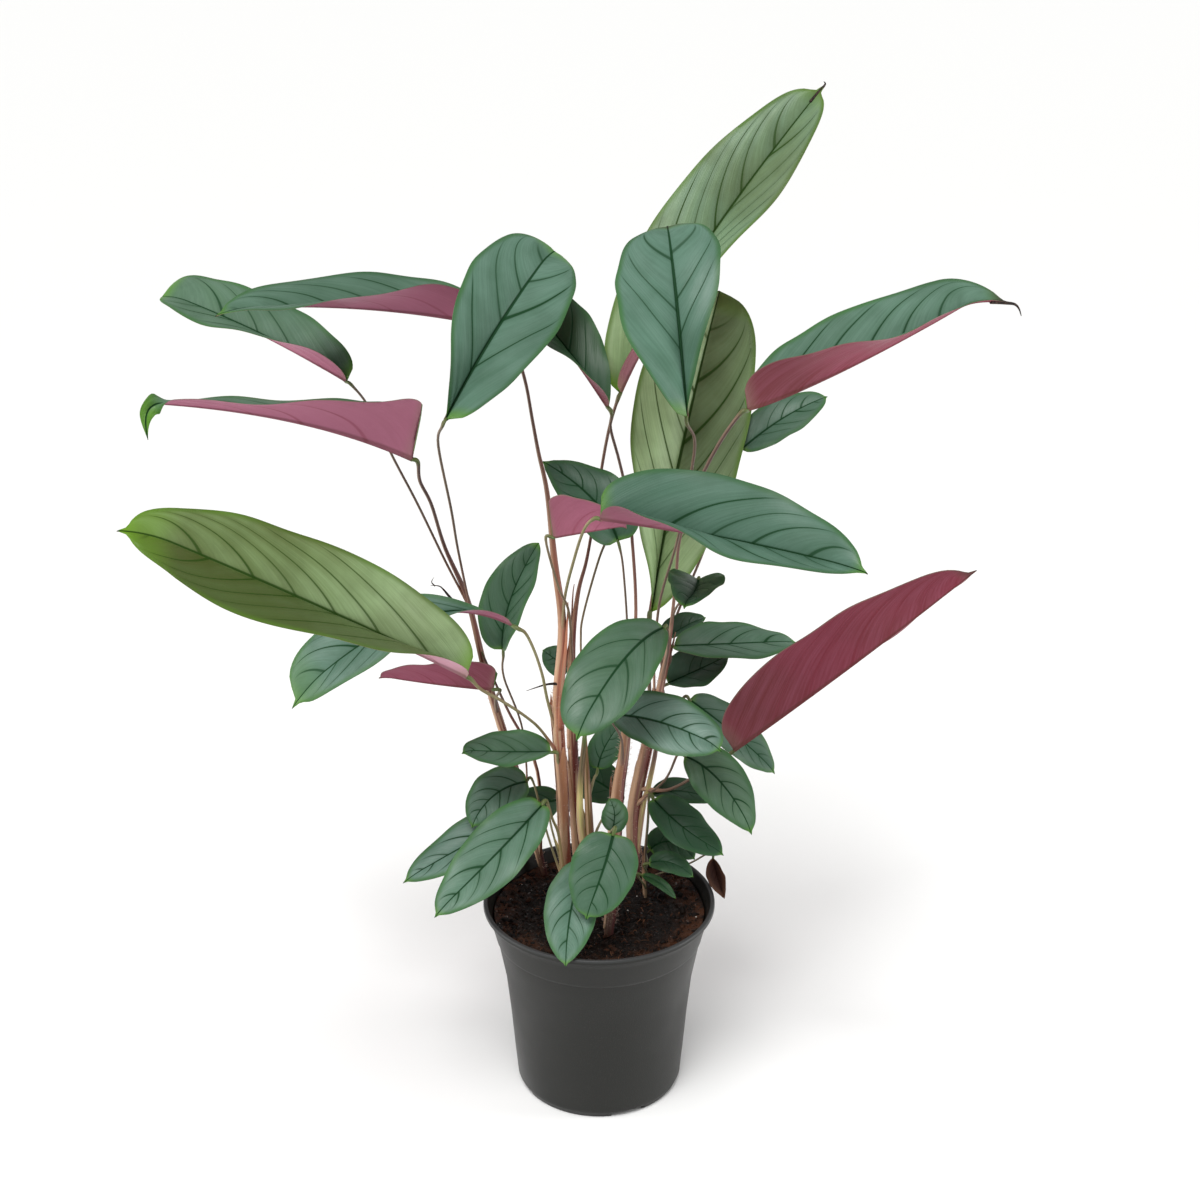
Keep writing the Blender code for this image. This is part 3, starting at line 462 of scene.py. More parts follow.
def new_group(name, inputs, outputs):
    """A shader node group with float sockets of these names, and its two end nodes."""
    group = bpy.data.node_groups.new(name, "ShaderNodeTree")
    for key in inputs:
        group.interface.new_socket(key, in_out="INPUT", socket_type="NodeSocketFloat")
    for key in outputs:
        group.interface.new_socket(key, in_out="OUTPUT", socket_type="NodeSocketFloat")
    return group, node(group, "NodeGroupInput").outputs, node(group, "NodeGroupOutput").inputs


# %% [markdown]
# ## The shape of a blade
# A ctenanthe's blade is folded along its midrib, most at the base, where it leaves the petiole
# like a spout. Its side veins leave the midrib at an angle and sweep towards the tip, and the
# blade is quilted a little between them. A flat outline could be bent by hand, but there are
# forty-three blades, and each has to start where its petiole ends. So all of it is one function of
# two numbers: s, how far along the midrib, and u, how far across from the midrib to the margin.

# %% Blade sizes, mm and degrees
BLADE_THICKNESS = 0.45
STALK_HALF_WIDTH = 1.2
TIP_SHARE = 0.17
TIP_START = 0.94
BODY_END = 0.975
BEND_START = 0.86
HANGING_PART = (0.84, 0.92)
HALF_CURL = -25.0
BASE_LEAN = 0.1
VEIN_SWEEP = 0.44
FEWEST_VEINS = 4.2
MM_PER_VEIN = 39.0
QUILT_HEIGHT = 0.3
GROOVE_DEPTH = 0.12
GROOVE_WIDTH = 0.9
WAVE_HEIGHT = 0.02
UNEVEN_EDGE = 0.02
LARGE_LEAF = 55.0
# Rows of points along a blade, and columns across each half
LARGE_GRID = (110, 22)
SMALL_GRID = (64, 14)


# %% Midrib and outline
def rib_line(leaf, s):
    """The midrib: a quadratic curve through mid. Past BEND_START, bend times the way squared is added."""
    base, mid, tip = (np.array(point, float) for point in (leaf.base, leaf.mid, leaf.tip))
    handle = 2.0 * mid - (base + tip) / 2.0
    t = s[:, None]
    points = (1 - t) ** 2 * base + 2 * t * (1 - t) * handle + t ** 2 * tip
    past = np.clip((t - BEND_START) / (1 - BEND_START), 0, 1)
    points = points + past ** 2 * np.array(leaf.bend, float)
    return points, unit(np.gradient(points, s, axis=0))


def mean_width(leaf):
    """A blade's width, from one number or from twice each half's."""
    return float(np.mean(leaf.width))


def half_width(leaf, s, u):
    """The width of each half: a power of s times a power of 1 - s, and a small drip tip past it."""
    rise, fall = (np.where(u > 0, leaf.outline[k - 2], leaf.outline[k])[None, :] for k in (0, 1))
    widest = rise / (rise + fall)
    share = DRIP.get(leaf.name, 1.0)
    body = np.clip(s / (1 - (1 - BODY_END) * share), 0, 1)[:, None]
    shape = (body / widest) ** rise * ((1 - body) / (1 - widest)) ** fall
    drip = TIP_SHARE * share * mean_width(leaf) / 2
    drip = drip * np.clip((1 - s) / (1 - TIP_START), 0, 1) * smoothstep(0.6, TIP_START, s)
    stalk = STALK_HALF_WIDTH * (1 - smoothstep(0.0, 0.1, s))
    left, right = np.broadcast_to(leaf.width, 2) / 2
    sides = np.where(u > 0, right, left) * shape
    return (sides ** 3 + (drip ** 3 + stalk ** 3)[:, None]) ** (1 / 3) + 0.05


# %% Side veins
def vein_start(s, u):
    """Where on the midrib the vein through a point starts, from 0 to 1.

    A vein that leaves the midrib at p lies at s = p + sweep (1 - p^3) (|u| + u^2) / 2. Six steps
    along the slope find p for every point at once.
    """
    reach = np.abs(u)
    bow = VEIN_SWEEP * (0.5 * reach + 0.5 * reach ** 2)
    p = s.copy()
    for _ in range(6):
        p = p - (p + bow * (1 - p ** 3) - s) / (1 - 3 * bow * p ** 2)
    return p


def vein_phases(s, u, length, random):
    """The number of veins below each point, left half and right: whole numbers are veins."""
    p = vein_start(s, u)
    count = max(FEWEST_VEINS, length / MM_PER_VEIN) + random.uniform(-0.2, 0.6)
    shifts = random.uniform(-0.35, 0.35, 2)
    wander = random.uniform(0, 2 * math.pi, 2)
    return [count * p + shift + 0.16 * np.sin(9.0 * p + turn) for shift, turn in zip(shifts, wander)]


def mm_per_vein(points, phase):
    """The mm between two veins: one over the length of the phase's gradient on the surface."""
    down = np.gradient(points, axis=0)
    over = np.gradient(points, axis=1)
    change_down = np.gradient(phase, axis=0)
    change_over = np.gradient(phase, axis=1)
    e = (down ** 2).sum(-1)
    f = (down * over).sum(-1)
    g = (over ** 2).sum(-1)
    area = np.maximum(e * g - f ** 2, 1e-9)
    slope = (g * change_down ** 2 - 2 * f * change_down * change_over + e * change_over ** 2) / area
    return np.clip(1.0 / np.sqrt(np.maximum(slope, 1e-9)), 0.5, 40.0)


# %% The blade as a surface
def direction(face):
    """The unit vector of an azimuth and elevation in degrees. Azimuth 0 is -Y and 90 is +X."""
    azimuth, elevation = np.radians(face)
    level = np.cos(elevation)
    return np.array([np.sin(azimuth) * level, -np.cos(azimuth) * level, np.sin(elevation)])


def folded_blade(leaf, s, u, seed):
    """A blade before its veins shape it: points in mm, midrib, half widths and where it looks.

    Across the midrib the blade leaves at the fold's angle and curls back to its margin. The margin
    is a little uneven, and the corners of the base sweep back.
    """
    rib, along = rib_line(leaf, s)
    hanging = smoothstep(*HANGING_PART, s)[:, None]
    tip_face = HANGING_TIPS.get(leaf.name, leaf.face)
    looks = (1 - hanging) * direction(leaf.face) + hanging * direction(tip_face)
    upper = unit(looks - (along * looks).sum(1)[:, None] * along)
    side = np.cross(along, upper)
    at_base, at_tip = (np.radians(np.where(u > 0, leaf.fold[k - 2], leaf.fold[k])) for k in (0, 1))
    fold = at_tip + (at_base - at_tip) * (1 - s[:, None]) ** 2
    curl = math.radians(HALF_CURL)
    reach = np.abs(u)[None, :]
    angle = fold - curl / 2 + curl * reach / 2
    width = half_width(leaf, s, u)
    half = np.sign(u)[None, :] * 1.7 + seed
    uneven = 0.6 * np.sin(11.0 * s[:, None] + half) + 0.4 * np.sin(27.0 * s[:, None] + 2.3 * half)
    width = width * (1 + UNEVEN_EDGE * uneven * smoothstep(0.05, 0.2, s)[:, None])
    across = side[:, None, :] * (u * width * np.cos(angle))[:, :, None]
    raised = upper[:, None, :] * (reach * width * np.sin(angle))[:, :, None]
    swept = SWEPT_BACK.get(leaf.name, BASE_LEAN)
    lean = swept * width * reach ** 2 * np.exp(-(s / 0.15) ** 2)[:, None]
    points = rib[:, None, :] + across + raised - along[:, None, :] * lean[:, :, None]
    return points, rib, width, upper


def blade_surface(leaf, s, u, seed):
    """The middle surface of a blade and its normals, in mm, and what its materials read.

    The folded blade is lifted between its side veins and waves along its margin. Side veins and
    midrib are grooves above and ridges below.
    """
    points, rib, width, upper = folded_blade(leaf, s, u, seed)
    s_grid, u_grid = np.broadcast_arrays(s[:, None], u[None, :])
    length = np.linalg.norm(np.diff(rib, axis=0), axis=1).sum()
    left, right = vein_phases(s_grid, u_grid, length, np.random.default_rng(seed))
    gap = mm_per_vein(points, left)
    phase = np.where(u_grid > 0, right, left)
    off_rib = np.abs(u_grid) * width
    inner = smoothstep(0.5, 4.0, off_rib) * (1 - np.abs(u_grid) ** 3) * smoothstep(0.0, 0.15, s_grid)
    size = min(mean_width(leaf) / 80.0, 1.0)
    lift = QUILT_HEIGHT * size * inner * (0.5 - 0.5 * np.cos(2 * math.pi * phase))
    wave = WAVE_HEIGHT * mean_width(leaf) * np.abs(u_grid) ** 3
    wave = wave * np.sin(s_grid * 17.0 + np.sign(u_grid) * 1.3 + seed)
    wave = wave * smoothstep(0.05, 0.3, s_grid) * (1 - smoothstep(0.85, 1.0, s_grid))
    groove = np.exp(-((phase - np.round(phase)) * gap / GROOVE_WIDTH) ** 2) * inner
    rib_radius = (0.35 + 1.15 * (1 - s_grid) ** 0.8) * (0.05 + 0.95 * size)
    ridge = np.exp(-(off_rib / rib_radius) ** 2)

    normal = unit(np.cross(np.gradient(points, axis=0), np.gradient(points, axis=1)))
    if (normal * upper[:, None, :]).sum() < 0:
        normal = -normal
    points = points + normal * (lift + wave)[:, :, None]
    half = BLADE_THICKNESS / 2 * (1 - 0.6 * np.abs(u_grid) ** 6)
    over = half - GROOVE_DEPTH * groove - 0.45 * rib_radius * ridge * smoothstep(0.0, 0.08, s_grid)
    under = -half - GROOVE_DEPTH * groove - 0.9 * rib_radius * ridge
    margin = width * (1 - np.abs(u_grid))
    kept = {
        "leaf": np.stack([u_grid, s_grid, margin], -1),
        "vein": np.stack([left, right, gap], -1),
        "rib": np.stack([off_rib / rib_radius, np.full(u_grid.shape, seed),
                         np.full(u_grid.shape, TIP_LOOK.get(leaf.name, 0.0))], -1),
    }
    return points, normal, over, under, kept


def build_blade(leaf, number):
    """A closed blade: the upper grid, the under grid, and a narrow strip round the margin."""
    rows, half_columns = LARGE_GRID if mean_width(leaf) >= LARGE_LEAF else SMALL_GRID
    # Rows lie closer towards the tip, and columns closer at the midrib and at the margin
    t = np.linspace(0, 1, rows)
    s = 0.75 * t + 0.25 * (1 - (1 - t) ** 2)
    inner = np.linspace(0, 1, half_columns) ** 1.35 * 0.985
    positive = np.append(inner[1:], 1.0)
    u = np.concatenate([-positive[::-1], [0.0], positive])
    points, normal, over, under, kept = blade_surface(leaf, s, u, number)
    top = (points + normal * over[:, :, None]).reshape(-1, 3)
    bottom = (points + normal * under[:, :, None]).reshape(-1, 3)

    columns = len(u)
    middle = rows // 2 * columns + columns // 2
    facing = np.cross(top[middle + 1] - top[middle], top[middle + columns] - top[middle])
    faces = sheet_faces(rows, columns, turned=facing @ normal[rows // 2, columns // 2] < 0)

    count = rows * columns
    side = np.repeat([0.0, 1.0], count)
    values = {key: np.tile(numbers.reshape(-1, 3), (2, 1)) for key, numbers in kept.items()}
    warm, dark, pale = leaf.tone
    u_flat, s_flat = values["leaf"][:, 0], values["leaf"][:, 1]
    # Dark is painted shade on the upper side, and painted light below 0; on the under side the third number
    # is how pale it is.
    left_dark, right_dark = np.broadcast_to(dark, 2)
    dark = left_dark + (right_dark - left_dark) * smoothstep(-0.1, 0.1, u_flat)
    values["look"] = np.stack([side, np.full(2 * count, warm), side * pale + (1 - side) * dark], -1)
    uv = np.stack([(u_flat * 0.24 + 0.25) + 0.5 * side, s_flat], -1)
    return new_piece(leaf.name + "_blade", np.vstack([top, bottom]), faces, values, uv)


# %% [markdown]
# ## The finish of a blade
# The upper side is silvery between the veins and dark green on them, with a brighter green margin,
# base and tip. Painted shade darkens the upper side of blades and halves that lie in the shade of
# others, and painted light makes a few paler. The under side is burgundy, with pale fine lines. A
# painted picture would blur close up. Here the pattern follows the numbers that each point of the
# blade carries, so it stays sharp, and every vein lies in its own groove.


# %% Vein masks, shared by all leaf finishes
THINNEST_VEIN = 0.4
THICKEST_VEIN = 1.7
VEIN_SHARE_OF_GAP = 0.058


def vein_masks():
    """A group that turns a blade's numbers into masks for its veins, margin and ends."""
    group, given, out = new_group(
        "vein_masks",
        ["Across", "Along", "Margin mm", "Left phase", "Right phase", "Gap mm", "Rib widths", "Leaf"],
        ["Midrib", "Side veins", "Beside veins", "Fine lines", "Between", "Margin", "Ends"])
    right = sums(group, "GREATER_THAN", given["Across"], 0.0)
    phases = {0: right, 2: given["Left phase"], 3: given["Right phase"]}
    phase = node(group, "ShaderNodeMix", phases).outputs[0]
    # How far away the nearest vein is, and how strong chance makes it
    nearest = sums(group, "ROUND", phase)
    off = sums(group, "ABSOLUTE", sums(group, "SUBTRACT", phase, nearest))
    away = times(group, off, given["Gap mm"])
    place = node(group, "ShaderNodeCombineXYZ", {0: nearest, 1: right, 2: given["Leaf"]}).outputs[0]
    chance = node(group, "ShaderNodeTexWhiteNoise", {"Vector": place}).outputs["Value"]
    strength = sums(group, "ADD", 0.6, times(group, chance, 0.4))
    # No vein before the first, and all fade towards the margin and the tip
    begun = ramp(group, phase, 0.45, 0.6)
    ends_soon = ramp(group, given["Margin mm"], 1.5, 8.0)
    shown = times(group, times(group, strength, begun), ends_soon)
    shown = times(group, shown, ramp(group, given["Along"], 0.9, 0.96, 1.0, 0.0))
    reach = sums(group, "ABSOLUTE", given["Across"])
    # Half a vein's width in mm: a share of the gap, less towards the margin and for faint veins
    half = sums(group, "MINIMUM", THICKEST_VEIN, times(group, given["Gap mm"], VEIN_SHARE_OF_GAP))
    half = sums(group, "MAXIMUM", THINNEST_VEIN, half)
    half = times(group, half, sums(group, "SUBTRACT", 1.0, times(group, reach, 0.4)))
    half = times(group, half, sums(group, "ADD", 0.55, times(group, strength, 0.45)))
    line = ramp(group, sums(group, "DIVIDE", away, half), 0.4, 1.2, 1.0, 0.0)
    beside = ramp(group, sums(group, "DIVIDE", away, half), 0.3, 3.0, 1.0, 0.0)
    group.links.new(ramp(group, given["Rib widths"], 0.9, 2.1, 1.0, 0.0), out["Midrib"])
    group.links.new(times(group, line, shown), out["Side veins"])
    group.links.new(times(group, beside, shown), out["Beside veins"])
    group.links.new(ramp(group, off, 0.1, 0.45), out["Between"])
    # Fine lines are noise that is drawn out along the veins
    drawn = node(group, "ShaderNodeCombineXYZ", {
        0: times(group, phase, 14.0),
        1: times(group, reach, 2.5),
        2: sums(group, "ADD", times(group, given["Leaf"], 7.3), times(group, right, 3.1))})
    streaks = node(group, "ShaderNodeTexNoise", {"Vector": drawn.outputs[0], "Scale": 1.0, "Detail": 3.0})
    group.links.new(ramp(group, streaks.outputs["Fac"], 0.3, 0.7), out["Fine lines"])
    group.links.new(ramp(group, given["Margin mm"], 0.6, 4.8, 1.0, 0.0), out["Margin"])
    base = ramp(group, given["Along"], 0.0, 0.07, 1.0, 0.0)
    tip = ramp(group, given["Along"], 0.93, 1.0)
    group.links.new(sums(group, "ADD", base, tip, clamp=True), out["Ends"])
    return group


VEIN_MASKS = vein_masks()


# %% Leaf materials
DEAD_BROWN = (0.035, 0.026, 0.022)


def leaf_material(name, upper, under, roughness=0.38, pale_base_and_light=0.0):
    """A blade's finish: the colours of both sides, and a paler base half above, partly own colour, partly
    painted light.
    """
    made, tree, shader = new_material(name, roughness, Specular_IOR_Level=0.5)
    across, along, margin_mm = parts_of(tree, "leaf")
    left, right, gap = parts_of(tree, "vein")
    rib_widths, number, tip_look = parts_of(tree, "rib")
    side, warmth, shade = parts_of(tree, "look")
    masks = node(tree, "ShaderNodeGroup", node_tree=VEIN_MASKS)
    for key, value in zip(masks.inputs, (across, along, margin_mm, left, right, gap, rib_widths, number)):
        tree.links.new(value, key)
    midrib, side_veins, beside, fine, between, edge, ends = masks.outputs[:7]
    blotch = noise(tree, 38.0, 4.0)
    cloud = noise(tree, 11.0, 2.0)
    # On the upper side shade is painted shade, and below 0 painted light; on the under side it is how pale
    # the blade is. dark is that number, no lower than 0.
    dark = sums(tree, "MAXIMUM", shade, 0.0)

    green = blend_colors(tree, ramp(tree, cloud, 0.35, 0.7, 0.0, 0.6), upper["margin"], upper["deep"])
    # The margin's green is weaker under painted shade.
    rimmed = times(tree, edge, sums(tree, "SUBTRACT", 0.8, times(tree, dark, 0.4)))
    young = times(tree, ramp(tree, along, 0.84, 0.93), times(tree, tip_look, -1.0), clamp=True)
    # Painted shade: dark mixes in deep green, and near-black green where it is deepest. Painted light:
    # shade below 0 mixes in the bright colour.
    top = layered(
        tree, blend_colors(tree, warmth, upper["cool"], upper["warm"]),
        # The paler base half is partly the blade's own colour and partly painted light.
        (ramp(tree, along, 0.65, 0.15, 0.0, pale_base_and_light), upper["bright"]),
        (times(tree, shade, -1.0, clamp=True), upper["bright"]),
        (times(tree, between, 0.15), upper["bright"]),
        (times(tree, dark, 0.85), upper["deep"]),
        (times(tree, sums(tree, "POWER", dark, 4.0), 0.65), upper["vein"]),
        (ramp(tree, cloud, 0.45, 0.75, 0.0, 0.4), upper["stain"]),
        (times(tree, ramp(tree, blotch, 0.35, 0.75), 0.3), upper["deep"]),
        (times(tree, fine, 0.2), upper["deep"]),
        (times(tree, beside, 0.35), upper["deep"]),
        (rimmed, green),
        (times(tree, ends, 0.8), upper["fresh"]),
        (young, upper["fresh"]),
        (times(tree, side_veins, 0.93), upper["vein"]),
        (times(tree, midrib, 0.93), upper["vein"]))

    brown = times(tree, ramp(tree, along, 0.5, 0.05, 0.0, 0.5), sums(tree, "SUBTRACT", 1.0, dark))
    rim = times(tree, ramp(tree, margin_mm, 0.2, 1.3, 1.0, 0.0), 0.6)
    bottom = layered(
        tree, blend_colors(tree, dark, under["wine"], under["blush"]),
        (times(tree, ramp(tree, cloud, 0.45, 0.8), 0.45), under["dusk"]),
        (times(tree, brown, side, clamp=True), under["dusk"]),
        (times(tree, fine, 0.12), under["blush"]),
        (times(tree, between, 0.05), under["blush"]),
        (times(tree, side_veins, 0.4), under["wine"]),
        (sums(tree, "MAXIMUM", rim, times(tree, ends, 0.4)), under["rim"]),
        (times(tree, midrib, 0.5), under["dusk"]))

    died = times(tree, ramp(tree, along, 0.94, 0.985), tip_look, clamp=True)
    color = layered(tree, top, (side, bottom), (died, DEAD_BROWN))
    tree.links.new(color, shader.inputs["Base Color"])
    rough = ramp(tree, blotch, 0.2, 0.8, roughness - 0.06, roughness + 0.1)
    tree.links.new(rough, shader.inputs["Roughness"])
    lines = sums(tree, "MAXIMUM", midrib, side_veins)
    dull = sums(tree, "MAXIMUM", times(tree, side, 0.8), lines)
    tree.links.new(ramp(tree, dull, 0.0, 1.0, 0.27, 0.03), shader.inputs["Specular IOR Level"])
    relief = sums(tree, "SUBTRACT", times(tree, fine, 0.5), side_veins)
    add_bump(tree, shader, relief, 0.00012)
    return made


SILVER_LEAF = leaf_material(
    "silver_leaf",
    {"cool": (0.112, 0.216, 0.158), "warm": (0.115, 0.185, 0.066), "bright": (0.220, 0.330, 0.280),
     "deep": (0.018, 0.062, 0.026), "vein": (0.010, 0.044, 0.015), "margin": (0.034, 0.135, 0.018),
     "fresh": (0.090, 0.230, 0.020), "stain": (0.070, 0.135, 0.095)},
    {"wine": (0.185, 0.028, 0.042), "blush": (0.480, 0.185, 0.280), "dusk": (0.095, 0.035, 0.026),
     "rim": (0.240, 0.170, 0.130)})
# The olive blades' paler base half is partly their own colour and partly painted light.
OLIVE_LEAF = leaf_material(
    "olive_leaf",
    {"cool": (0.175, 0.290, 0.200), "warm": (0.125, 0.180, 0.040), "bright": (0.340, 0.490, 0.240),
     "deep": (0.042, 0.062, 0.006), "vein": (0.022, 0.058, 0.008), "margin": (0.080, 0.180, 0.008),
     "fresh": (0.140, 0.300, 0.010), "stain": (0.080, 0.090, 0.022)},
    {"wine": (0.230, 0.050, 0.065), "blush": (0.620, 0.330, 0.410), "dusk": (0.110, 0.045, 0.035),
     "rim": (0.300, 0.240, 0.120)}, pale_base_and_light=0.85)
DRY_LEAF = leaf_material(
    "dry_leaf",
    {"cool": (0.180, 0.060, 0.040), "warm": (0.210, 0.080, 0.050), "bright": (0.300, 0.150, 0.100),
     "deep": (0.040, 0.013, 0.009), "vein": (0.030, 0.010, 0.006), "margin": (0.180, 0.080, 0.040),
     "fresh": (0.150, 0.070, 0.035), "stain": (0.040, 0.013, 0.009)},
    {"wine": (0.100, 0.030, 0.018), "blush": (0.180, 0.080, 0.045), "dusk": (0.040, 0.013, 0.009),
     "rim": (0.180, 0.090, 0.050)}, roughness=0.65)
print("leaf finishes:", SILVER_LEAF.name, OLIVE_LEAF.name, DRY_LEAF.name)

# %% Grow the blades
SLOT_FINISH = {"leaf_green": SILVER_LEAF, "leaf_olive": OLIVE_LEAF, "leaf_dry": DRY_LEAF}
slot_of = {part["node"]: part["material_slot"] for part in frame["record"]["subparts"]}
blades = []
for number, leaf in enumerate(LEAVES):
    blade = build_blade(leaf, number)
    dress(blade, SLOT_FINISH[slot_of[leaf.name]], slot_of[leaf.name], leaf.name)
    blades.append(blade)
print("blades:", len(blades), "faces:", sum(len(blade.data.polygons) for blade in blades))

# %% [markdown]
# ## Shoots
# A shoot is a stem with its petioles. Near the foot the petioles' sheaths wrap the stem, so each
# petiole starts thick, inside the stem, and thins as it leaves. At the blade it ends in a short
# swollen joint. Each is a tube along a smooth path, with a frame that is carried along the path
# so that it doesn't twist. A Blender curve with a round bevel would give the same tube, but not
# the numbers on its points that the finish reads, such as how far up the stem a point is.

# %% Shoot sizes, mm
POT_HEIGHT = 150.0
SOIL_LEVEL = 136.0
FOOT_DEPTH = 12.0
FOOT_STRAIGHT = 3.0
SHEATH_LENGTH = 38.0
THINNING = (0.18, 0.62)
LATE_THINNING = {"shoot_left": (0.35, 0.85), "shoot_main": (0.25, 0.88), "shoot_tall": (0.2, 0.75)}
FOOT_TAPER = 0.68
FOOT_TAPER_LENGTH = 55.0
JOINT_LENGTH = 9.0
JOINT_SWELL = 1.4
SEAT_LENGTH = 5.0
STRIP_LENGTH = 60.0
STEM_SIDES = 18
PETIOLE_SIDES = 12
PATH_STEPS = 7
TUBE_WOBBLE = 0.05


# %% Tubes
def carried_frames(path):
    """Two unit vectors square to the path at each point, turned as little as can be on the way."""
    along = unit(np.gradient(path, axis=0))
    first = np.cross(along[0], (0.0, 1.0, 0.0))
    sides = [first / np.linalg.norm(first)]
    for step in along[1:]:
        turned = sides[-1] - (sides[-1] @ step) * step
        sides.append(turned / np.linalg.norm(turned))
    sides = np.array(sides)
    return sides, np.cross(along, sides)


def around(first, second, angle):
    """The unit vectors at an angle, in radians, between two directions for each point of a path."""
    return first[:, None, :] * np.cos(angle)[:, :, None] + second[:, None, :] * np.sin(angle)[:, :, None]


def distances(path):
    """How far along the path each of its points is, in mm."""
    return np.concatenate([[0], np.cumsum(np.linalg.norm(np.diff(path, axis=0), axis=1))])


def tube(path, radii, sides, kind, seed):
    """A closed tube: circles of the given radii square to the path, each end closed by a pole.

    Each point keeps how far up the tube it is (0 to 1), the mm left to the end, and kind, and then
    the place on a long cylinder that its lengthwise strips are drawn on.
    """
    first, second = carried_frames(path)
    turn = np.linspace(0, 2 * math.pi, sides, endpoint=False)
    wobble = 1 + TUBE_WOBBLE * np.sin(2 * turn[None, :] + seed + np.arange(len(path))[:, None] * 0.15)
    ring = around(first, second, turn[None, :])
    points = path[:, None, :] + ring * (radii[:, None] * wobble)[:, :, None]
    count = len(path) * sides
    lengths = distances(path)
    share = np.repeat(lengths / lengths[-1], sides)
    left = np.repeat(lengths[-1] - lengths, sides)
    circle = np.tile(np.stack([np.cos(turn), np.sin(turn)], -1), (len(path), 1))
    strips = np.repeat(lengths / STRIP_LENGTH, sides)
    values = np.column_stack([share, left, np.full(count, kind), circle, strips])
    values = np.vstack([values, values[0], values[-1]])
    points = np.vstack([points.reshape(-1, 3), path[0], path[-1]])
    return points, capped_faces(len(path), sides), values


def joined(shapes):
    """Several (points, faces, values) as one, with the faces renumbered."""
    points, faces, values, offset = [], [], [], 0
    for shape_points, shape_faces, shape_values in shapes:
        points.append(shape_points)
        values.append(shape_values)
        faces.extend(block + offset for block in shape_faces)
        offset += len(shape_points)
    return np.vstack(points), faces, np.vstack(values)


# %% Sheaths
# Each sheath of a shoot: heights where it starts and ends, turn about the stem, how yellow it is
SHEATHS = {
    "shoot_left": [(145, 240, -20, 0.1)],
    "shoot_main": [(142, 300, -40, 0.0), (150, 262, 120, 0.15), (205, 345, 200, 0.1),
                   (275, 374, 170, -0.3)],
    "shoot_tall": [(145, 250, 20, 0.1), (250, 375, -20, 0.0)],
    "shoot_olive": [(140, 212, -10, 1.0)],
    "shoot_front": [(140, 246, -30, 0.0), (160, 292, 60, 0.15), (190, 330, -110, 0.1)],
    "shoot_right": [(142, 238, -60, 0.3), (170, 300, 10, 0.1), (215, 345, -150, 0.05)],
    "shoot_low_right": [(139, 180, 0, 0.0)],
    "shoot_low_front": [(139, 188, 30, 0.9)],
    "shoot_low_left": [(139, 192, -25, 1.0)],
}
SHEATH_THICKNESS = 0.3
SHEATH_HALF_TURN = 72.0
SHEATH_CLEARANCE = 0.35
SHEATH_LEAN = 2.2
# What a sheath's points keep: no joint is near, and their strips are other ones than the stem's
FAR_FROM_JOINT = 60.0
OTHER_STRIPS = 9.0


def point_at_height(path, height):
    """The points of a rising path at one height or at many."""
    order = np.argsort(path[:, 2])
    return np.stack([np.interp(height, path[order, 2], path[order, k]) for k in range(3)], -1)


def build_sheath(path, radii, low, high, turn, yellow):
    """A sheath: part of a tube that wraps the stem, narrows to a point above, and leans away there."""
    t = np.linspace(0, 1, 26)
    u = np.linspace(-1, 1, 9)
    heights = low + (high - low) * t
    center = point_at_height(path, heights)
    order = np.argsort(path[:, 2])
    radius = np.interp(heights, path[order, 2], radii[order])
    half_turn = math.radians(SHEATH_HALF_TURN) * (1 - t ** 2) ** 0.7 + 0.05
    angle = math.radians(turn) + u[None, :] * half_turn[:, None]
    outward = around(*carried_frames(center), angle)
    away = radius + SHEATH_CLEARANCE + SHEATH_LEAN * smoothstep(0.7, 1.0, t) ** 2
    keel = 0.35 * (1 - np.abs(u)) ** 2
    middle = center[:, None, :] + outward * (away[:, None] + keel)[:, :, None]
    half = outward * (SHEATH_THICKNESS / 2 * (1 - 0.7 * np.abs(u) ** 4))[None, :, None]
    count = angle.size
    kept = [np.repeat(t, len(u)), np.full(count, FAR_FROM_JOINT), np.full(count, 2.0 + yellow),
            np.cos(angle).ravel(), np.sin(angle).ravel(),
            np.repeat(heights / STRIP_LENGTH + OTHER_STRIPS, len(u))]
    values = np.tile(np.column_stack(kept), (2, 1))
    points = np.vstack([(middle + half).reshape(-1, 3), (middle - half).reshape(-1, 3)])
    return points, sheet_faces(len(t), len(u)), values


# %% Stems and petioles
def seat(leaf):
    """Where a petiole ends: in line with the midrib, up to the blade's base."""
    rib, along = rib_line(leaf, np.linspace(0, 0.05, 4))
    return rib[0] - SEAT_LENGTH * along[0], rib[0] + 1.0 * along[0]


def stem_path(shoot):
    """A stem's path, from its foot in the mix to the blade that ends it."""
    x, y = shoot.axis[0]
    rising = [(x, y, SOIL_LEVEL + FOOT_STRAIGHT)] + list(shoot.axis[1:])
    ending = [leaf for leaf in LEAVES if leaf.shoot == shoot.name and leaf.join is None]
    rising += list(seat(ending[0])) if ending else []
    return np.vstack([(x, y, SOIL_LEVEL - FOOT_DEPTH), smooth_path(rising, PATH_STEPS)])


def swollen(lengths, radii):
    """Radii with the joint under the blade swollen: a bell over the last JOINT_LENGTH."""
    left = lengths[-1] - lengths
    bell = np.exp(-((left - JOINT_LENGTH / 2) / (JOINT_LENGTH / 2)) ** 2)
    return radii * (1 + (JOINT_SWELL - 1) * bell)


